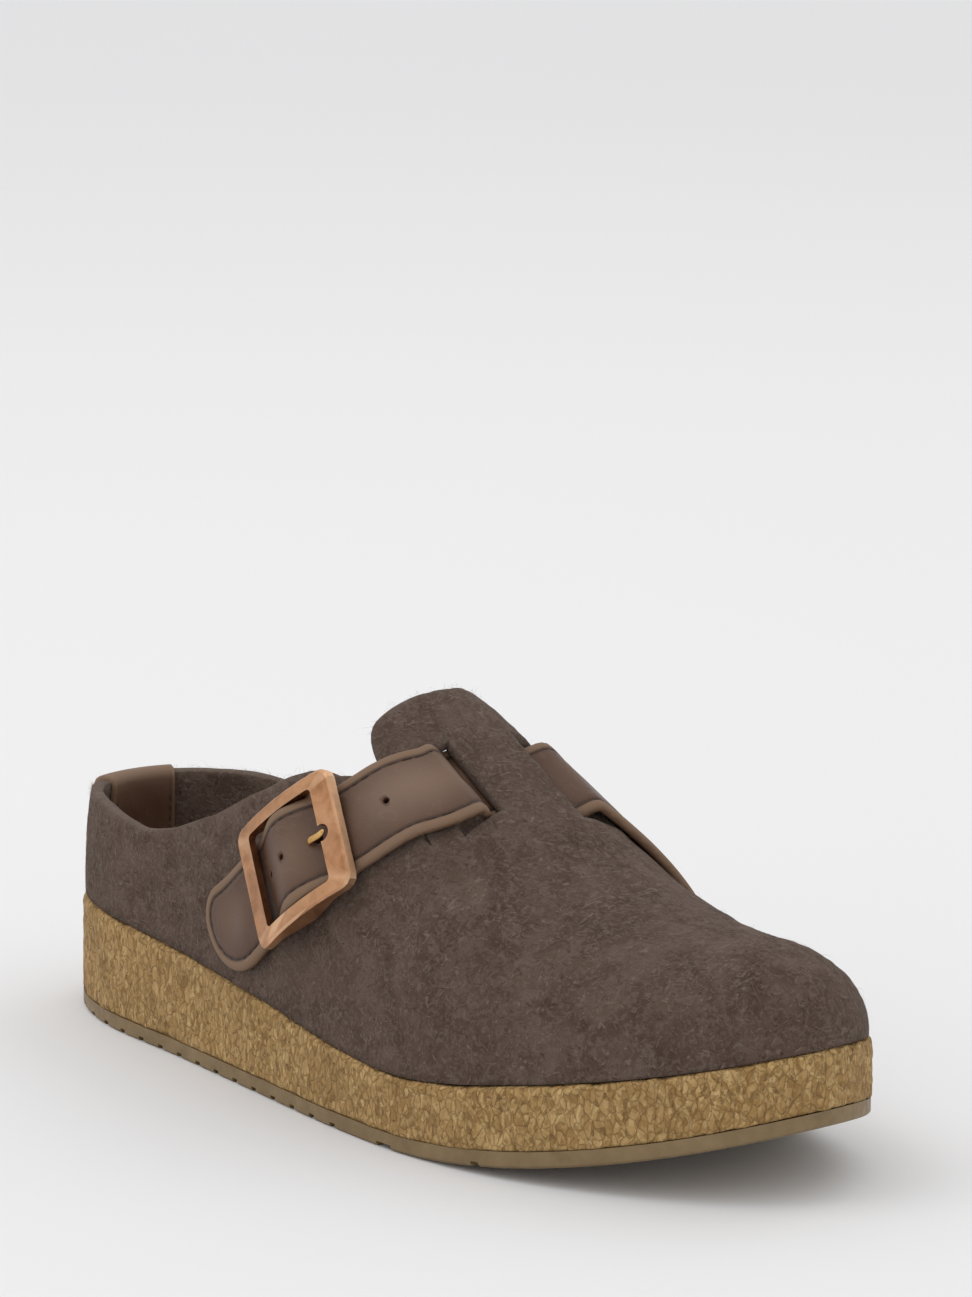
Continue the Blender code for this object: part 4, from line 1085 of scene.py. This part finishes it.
def build_strap(strap):
    length = strap.length
    e = np.array([row[0] for row in STRAP_TOP[:-1]]) / 1000
    rounding = 1 - np.cos(np.radians(np.linspace(0, 90, 22)))
    tail = TAB_LOWER_ROUND * rounding
    head = STRAP_END_ROUND * rounding
    s = np.concatenate([e, length - e, head, length - tail, np.arange(0.004, length - 0.004, 0.0009)])
    s = np.unique(np.round(s, 6))
    s = s[np.concatenate([[True], np.diff(s) > 0.00008])]
    low, high = strap_edges(s, length)
    width = high - low
    fit = np.minimum(1.0, width * 0.42 / e[-1])
    left = low[:, None] + e[None] * fit[:, None]
    right = high[:, None] - e[None, ::-1] * fit[:, None]
    t = np.linspace(0, 1, 9)[1:-1]
    mid = left[:, -1:] + (right[:, :1] - left[:, -1:]) * t[None]
    offset = np.concatenate([left, mid, right], axis=1)
    along = np.repeat(s[:, None], offset.shape[1], axis=1)
    edge = edge_distance(along, offset, length) * 1000
    edge[:, 0] = edge[:, -1] = 0.0
    edge[0, :] = edge[-1, :] = 0.0
    top_h, low_h = (np.interp(edge, *zip(*rows)) / 1000 for rows in (STRAP_TOP, STRAP_UNDER))
    layer = strap.seat(along.ravel(), offset.ravel(), np.zeros(along.size)).reshape(*along.shape, 3)
    normal = np.cross(np.gradient(layer, axis=0), np.gradient(layer, axis=1))
    spare = strap.seat(along.ravel(), offset.ravel(), np.full(along.size, 0.001)).reshape(layer.shape) - layer
    normal = unit(normal * np.sign((normal * spare).sum(-1, keepdims=True)))
    normal[0], normal[-1] = unit(spare[0]), unit(spare[-1])
    wave = Wave(0.010)
    upper = (layer + normal * top_h[..., None]).reshape(-1, 3)
    under = (layer - normal * low_h[..., None]).reshape(-1, 3)
    normal = normal.reshape(-1, 3)
    upper += unit(normal) * (0.00006 * wave(upper) * smooth((edge.ravel() - 0.8) / 2))[:, None]
    count = len(upper)
    faces = ring_faces(0, *along.shape, closed=False)
    faces += [tuple(v + count for v in f[::-1]) for f in faces]
    # painted shade along the strap's stitch groove
    groove_shade = np.exp(-((edge - STITCH_INSET * 1000) / 0.34) ** 2).ravel()
    rim = smooth((2.75 - edge) / 0.7).ravel()
    run, aside = (along - strap.buckle) * 1000, offset * 1000
    # painted highlight: pale spots across the strap's middle, kept off its edges
    painted_highlight = sum(strength * np.exp(-((run - far) / reach) ** 2) * np.exp(-((aside - off) / spread) ** 2)
                for far, reach, off, spread, strength in PAINTED_HIGHLIGHTS)
    painted_highlight = painted_highlight.ravel() * (1 - rim)
    zero = np.zeros(count)
    return make("strap_leather", np.concatenate([upper, under]), faces, LEATHER, {
        "edge": np.concatenate([rim, zero + 0.6]),
        "groove_shade": np.concatenate([groove_shade, zero]),
        "painted_highlight": np.concatenate([painted_highlight, zero]),
    })


def punch(obj, strap):
    """Cuts the round holes along the strap's middle line."""
    cutter = bmesh.new()
    for shift in HOLES:
        s = strap.buckle + shift
        radius = PRONG_HOLE_RADIUS if shift == PRONG_HOLE else HOLE_RADIUS
        point, along, across, normal, _, _ = strap.frame(s)
        turn = Matrix((Vector(along), Vector(across), Vector(normal))).transposed().to_4x4()
        where = Matrix.Translation(Vector(point + normal * float(strap.level(s)))) @ turn
        bmesh.ops.create_cone(cutter, cap_ends=True, segments=20, radius1=radius, radius2=radius, depth=0.006,
                              matrix=where)
    mesh = bpy.data.meshes.new("punch")
    bmesh.ops.recalc_face_normals(cutter, faces=cutter.faces)
    cutter.to_mesh(mesh)
    cutter.free()
    tool = bpy.data.objects.new("punch", mesh)
    bpy.context.scene.collection.objects.link(tool)
    modifier = obj.modifiers.new("punch", "BOOLEAN")
    modifier.operation = "DIFFERENCE"
    modifier.solver = "EXACT"
    modifier.object = tool
    bpy.context.view_layer.update()
    graph = bpy.context.evaluated_depsgraph_get()
    cut = bpy.data.meshes.new_from_object(obj.evaluated_get(graph))
    obj.modifiers.clear()
    obj.data = cut
    bpy.data.objects.remove(tool)


def stitch_path(strap):
    """The seam's line round the strap as (s, offset), a fixed distance inside its edge."""
    length = strap.length
    s = length * (1 - np.cos(np.linspace(0, math.pi, 700))) / 2
    low, high = strap_edges(s, length)
    loop = np.concatenate([np.stack([s, high], 1), np.stack([s[::-1], low[::-1]], 1)])
    loop = loop[np.concatenate([[True], np.linalg.norm(np.diff(loop, axis=0), axis=1) > 2e-5])]
    run = np.roll(loop, -1, axis=0) - np.roll(loop, 1, axis=0)
    inward = unit(np.stack([run[:, 1], -run[:, 0]], 1))
    inset = loop + inward * STITCH_INSET
    far = edge_distance(inset[:, 0], inset[:, 1], length)
    return inset[far > STITCH_INSET * 0.96]


def along_loop(line, pitch):
    line = np.concatenate([line, line[:1]])
    steps = np.concatenate([[0], np.cumsum(np.linalg.norm(np.diff(line, axis=0), axis=1))])
    count = int(steps[-1] / pitch)
    return steps, line, count, steps[-1] / count


def build_stitches(strap):
    steps, line, count, pitch = along_loop(stitch_path(strap), STITCH_PITCH)
    paths = []
    arch = np.array([-0.16, 0.02, 0.07, 0.09, 0.07, 0.02, -0.16]) / 1000
    for i in range(count):
        d = (i + np.linspace(0.5 - STITCH_SHARE / 2, 0.5 + STITCH_SHARE / 2, len(arch))) * pitch
        s, offset = np.interp(d, steps, line[:, 0]), np.interp(d, steps, line[:, 1])
        high = strap.seat(s, offset, 0.00094 + arch)
        up = strap.seat(s, offset, 0.00194 + arch) - high
        paths.append((high, unit(up)))
    points, faces = tubes(paths, THREAD_RADIUS)
    obj = make("strap_stitches", points, faces, THREAD)
    return place(obj, "strap_leather")


# ---------------------------------------------------------------- heel patch

def patch_profile(top, t):
    """The patch's two faces as (level, rise), up inside the felt, over the collar at top and down outside."""
    near, far = -FELT_WALL - GAP, GAP
    start, end = FOOTBED_WALL + 2 * GAP, top - PATCH_DROP
    mid, half = (near + far) / 2, (far - near) / 2
    turn = top + GAP - PATCH_CROWN
    path = [(near, start + (turn - start) * x) for x in np.linspace(0, 1, 8)]
    path += [(mid - half * math.cos(x), turn + PATCH_CROWN * math.sin(x))
             for x in np.linspace(0.3, math.pi - 0.3, 7)]
    path += [(far, turn + (end - turn) * x) for x in np.linspace(0, 1, 6)]
    path = np.array(path)
    run = unit(np.gradient(path, axis=0))
    out = np.stack([-run[:, 1], run[:, 0]], axis=1)
    return path, path + out * t


def build_patch():
    stations = 64
    w = np.linspace(-1, 1, stations + 1)
    q = np.abs(w) * PATCH_HALF_ANGLE
    side = np.where(w < 0, -1.0, 1.0)
    share = share_at(q)
    rows = []
    roll = smooth((np.abs(w) - 0.955) / 0.045)
    for i in range(stations + 1):
        thick = PATCH_THICKNESS * (1 - 0.55 * roll[i])
        under, over = patch_profile(float(collar_share(share[i])) * INSTEP_RISE, thick)
        rows.append(np.concatenate([under, over[::-1]]))
    rows = np.array(rows)
    level, rise = rows[..., 0], rows[..., 1]
    qq = np.repeat(q[:, None], rows.shape[1], axis=1)
    ss = np.repeat(share[:, None], rows.shape[1], axis=1)
    a = across_at_rise(ridge_station(ss), rise, np.repeat(side[:, None], rows.shape[1], axis=1))
    points = last_point(qq, a) + last_normal(qq, a) * level[..., None]
    columns = rows.shape[1]
    faces = ring_faces(0, stations + 1, columns)
    faces.append(tuple(range(columns)))
    faces.append(tuple(range(stations * columns, (stations + 1) * columns))[::-1])
    end = np.repeat(smooth((np.abs(w) - 0.90) / 0.06)[:, None], columns, axis=1)
    index = np.arange(columns)
    index = np.where(index < columns // 2, index, columns - 1 - index)
    # painted highlight: the rows over the collar's top are made paler through the edge and highlight masks;
    # the paler ends are the leather's own edge dye
    top = np.repeat(np.exp(-((index - 11) / 4.0) ** 2)[None], stations + 1, axis=0)
    # painted shade along the patch's seam line, kept off its top
    groove_shade = np.repeat(np.exp(-((np.abs(w) - PATCH_SEAM) / 0.014) ** 2)[:, None], columns, axis=1) * (1 - top)
    obj = make("heel_patch_leather", points.reshape(-1, 3), faces, LEATHER, {
        "edge": np.clip(0.9 * top + 0.6 * end, 0, 1).ravel(),
        "groove_shade": groove_shade.ravel() * 0.6,
        "painted_highlight": (0.35 * top).ravel(),
    }, sharp=60)
    place(obj, "strap_leather", "heel_patch")
    paths = []
    where = np.array([PATCH_SEAM * PATCH_HALF_ANGLE])
    share = share_at(where)
    top_rise = float(collar_share(share)[0]) * INSTEP_RISE
    arch = np.array([-0.12, 0.05, 0.1, 0.1, 0.05, -0.12]) / 1000
    inside = (-FELT_WALL - GAP - PATCH_THICKNESS, 0.010, top_rise - 0.003, -1)
    outside = (GAP + PATCH_THICKNESS, top_rise - PATCH_DROP + 0.001, top_rise - 0.002, 1)
    for sign in (-1, 1):
        for level, low, high, up_sign in (inside, outside):
            for i in range(int((high - low) / STITCH_PITCH)):
                rise = low + (i + np.linspace(0.1, 0.9, len(arch))) * STITCH_PITCH
                a = across_at_rise(ridge_station(share), rise, sign)
                normal = last_normal(where, a)
                line = last_point(where, a) + normal * (level + arch * up_sign)[:, None]
                paths.append((line, normal * up_sign))
    points, faces = tubes(paths, PATCH_THREAD_RADIUS)
    return place(make("patch_stitches", points, faces, THREAD), "strap_leather")


# ---------------------------------------------------------------- buckle

def dress_buckle():
    round_edges("buckle_frame", BRONZE, 0.00045, 3, 38).harden_normals = True
    paint(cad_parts["buckle_loop"], LEATHER)


def build_prong(strap):
    """The prong: a ring round the middle bar, then over the strap's end to the notch."""
    point, along, across, normal, _, _ = strap.frame(np.array(strap.buckle))
    end = STRAP_GAP + STRAP_THICKNESS + GAP + BUCKLE_LIFT
    ring = BAR_RADIUS + GAP + PRONG_RING_GAP
    tip = -FRAME_LENGTH / 2 + FRAME_BAR_WIDTH - NOTCH_RADIUS * 0.5
    knee = BAR_HEIGHT + ring
    over = end + STRAP_THICKNESS * 0.55
    path = [(ring * math.cos(x), BAR_HEIGHT + ring * math.sin(x))
            for x in np.linspace(math.radians(-230), math.radians(90), 24)]
    path += [(-0.0025, knee), (-0.0050, knee + 0.0001), (-0.0072, (knee + over) / 2 + 0.0002),
             (-0.0087, over + 0.0005), (tip * 0.5 - 0.0043, end + FRAME_THICKNESS * 0.75),
             (tip, end + FRAME_THICKNESS + 0.0001)]
    path = np.array(path)
    steps = np.concatenate([[0], np.cumsum(np.linalg.norm(np.diff(path, axis=0), axis=1))])
    fine = np.linspace(0, steps[-1], 90)
    t, h = (curve(list(zip(steps, column)), 1)(fine) for column in path.T)
    bend = t * t / (2 * BUCKLE_BEND)
    points = point + along * t[:, None] + normal * (h - bend)[:, None]
    sides = 12
    up = np.cross(unit(np.gradient(points, axis=0)), across)
    mesh_points = []
    for i in range(len(points)):
        near_end = min(1.0, (len(points) - 1 - i) / 7)
        grow = 0.25 + 0.75 * math.sqrt(max(0.0, 1 - (1 - near_end) ** 2))
        for j in range(sides):
            angle = 2 * math.pi * j / sides
            aside = PRONG_HALF_WIDTH * math.cos(angle) * across
            mesh_points.append(points[i] + grow * (aside + PRONG_HALF_HEIGHT * math.sin(angle) * up[i]))
    faces = ring_faces(0, len(points), sides)
    faces.append(tuple(range(sides))[::-1])
    faces.append(tuple(range((len(points) - 1) * sides, len(points) * sides)))
    return place(make("prong_round", mesh_points, faces, BRASS), "prong_brass", "buckle_prong")


# ---------------------------------------------------------------- stage, light and camera

def build_stage():
    mesh = bpy.data.meshes.new("floor")
    size = 12.0
    corners = [(-size, -size, 0), (size, -size, 0), (size, size, 0), (-size, size, 0)]
    mesh.from_pydata(corners, [], [(0, 1, 2, 3)])
    floor = bpy.data.objects.new("floor", mesh)
    bpy.context.scene.collection.objects.link(floor)
    n = Nodes("floor_pale")
    colour = n.ramp(n.noise(0.6, 2), (0.3, (0.79, 0.79, 0.792)), (0.7, (0.805, 0.805, 0.807)))
    mesh.materials.append(n.finish(colour, 0.9, Specular_IOR_Level=0.1))


def add_light(name, place_, target, size, power, colour=(1, 1, 1)):
    light = bpy.data.lights.new(name, "AREA")
    light.shape = "DISK"
    light.size = size
    light.energy = power
    light.color = colour
    obj = bpy.data.objects.new(name, light)
    obj.location = place_
    obj.rotation_mode = "QUATERNION"
    obj.rotation_quaternion = (Vector(target) - Vector(place_)).to_track_quat("-Z", "Y")
    bpy.context.scene.collection.objects.link(obj)


def build_light():
    world = bpy.data.worlds.new("studio")
    world.use_nodes = True
    world.node_tree.nodes["Background"].inputs[0].default_value = (0.99, 0.99, 1.0, 1.0)
    world.node_tree.nodes["Background"].inputs[1].default_value = 0.95
    bpy.context.scene.world = world
    bpy.context.scene.view_settings.view_transform = "Standard"
    add_light("key", (-0.55, -0.85, 1.75), (0, 0, 0.03), 1.2, 6, (1.0, 0.985, 0.96))
    add_light("back", (-0.2, 1.3, 1.6), (0, 0, 0.03), 1.0, 2, (1.0, 0.99, 0.98))


def build_camera():
    position = Vector((1.0915 - 0.132, -0.8139 - BALL_MIDDLE, 0.3521))
    look = Vector((-0.7443, 0.6405, -0.1894)).normalized()
    right = look.cross(Vector((0, 0, 1))).normalized()
    up = right.cross(look)
    roll = math.radians(0.32)
    r2 = right * math.cos(roll) + up * math.sin(roll)
    u2 = -right * math.sin(roll) + up * math.cos(roll)
    data = bpy.data.cameras.new("camera")
    data.lens = 146.3
    data.sensor_width = 36.0
    data.clip_start, data.clip_end = 0.05, 50.0
    camera = bpy.data.objects.new("camera", data)
    camera.matrix_world = Matrix.Translation(position) @ Matrix((r2, u2, -look)).transposed().to_4x4()
    bpy.context.scene.collection.objects.link(camera)
    bpy.context.scene.camera = camera


build_midsole()
round_edges("outsole", RUBBER, 0.0004, 2, 40)
build_footbed()
felt = build_felt()
build_fibres(*felt)
STRAP = Strap()
leather = build_strap(STRAP)
punch(leather, STRAP)
place(leather, "strap_leather", "strap")
build_stitches(STRAP)
build_patch()
dress_buckle()
build_prong(STRAP)
build_stage()
build_light()
build_camera()
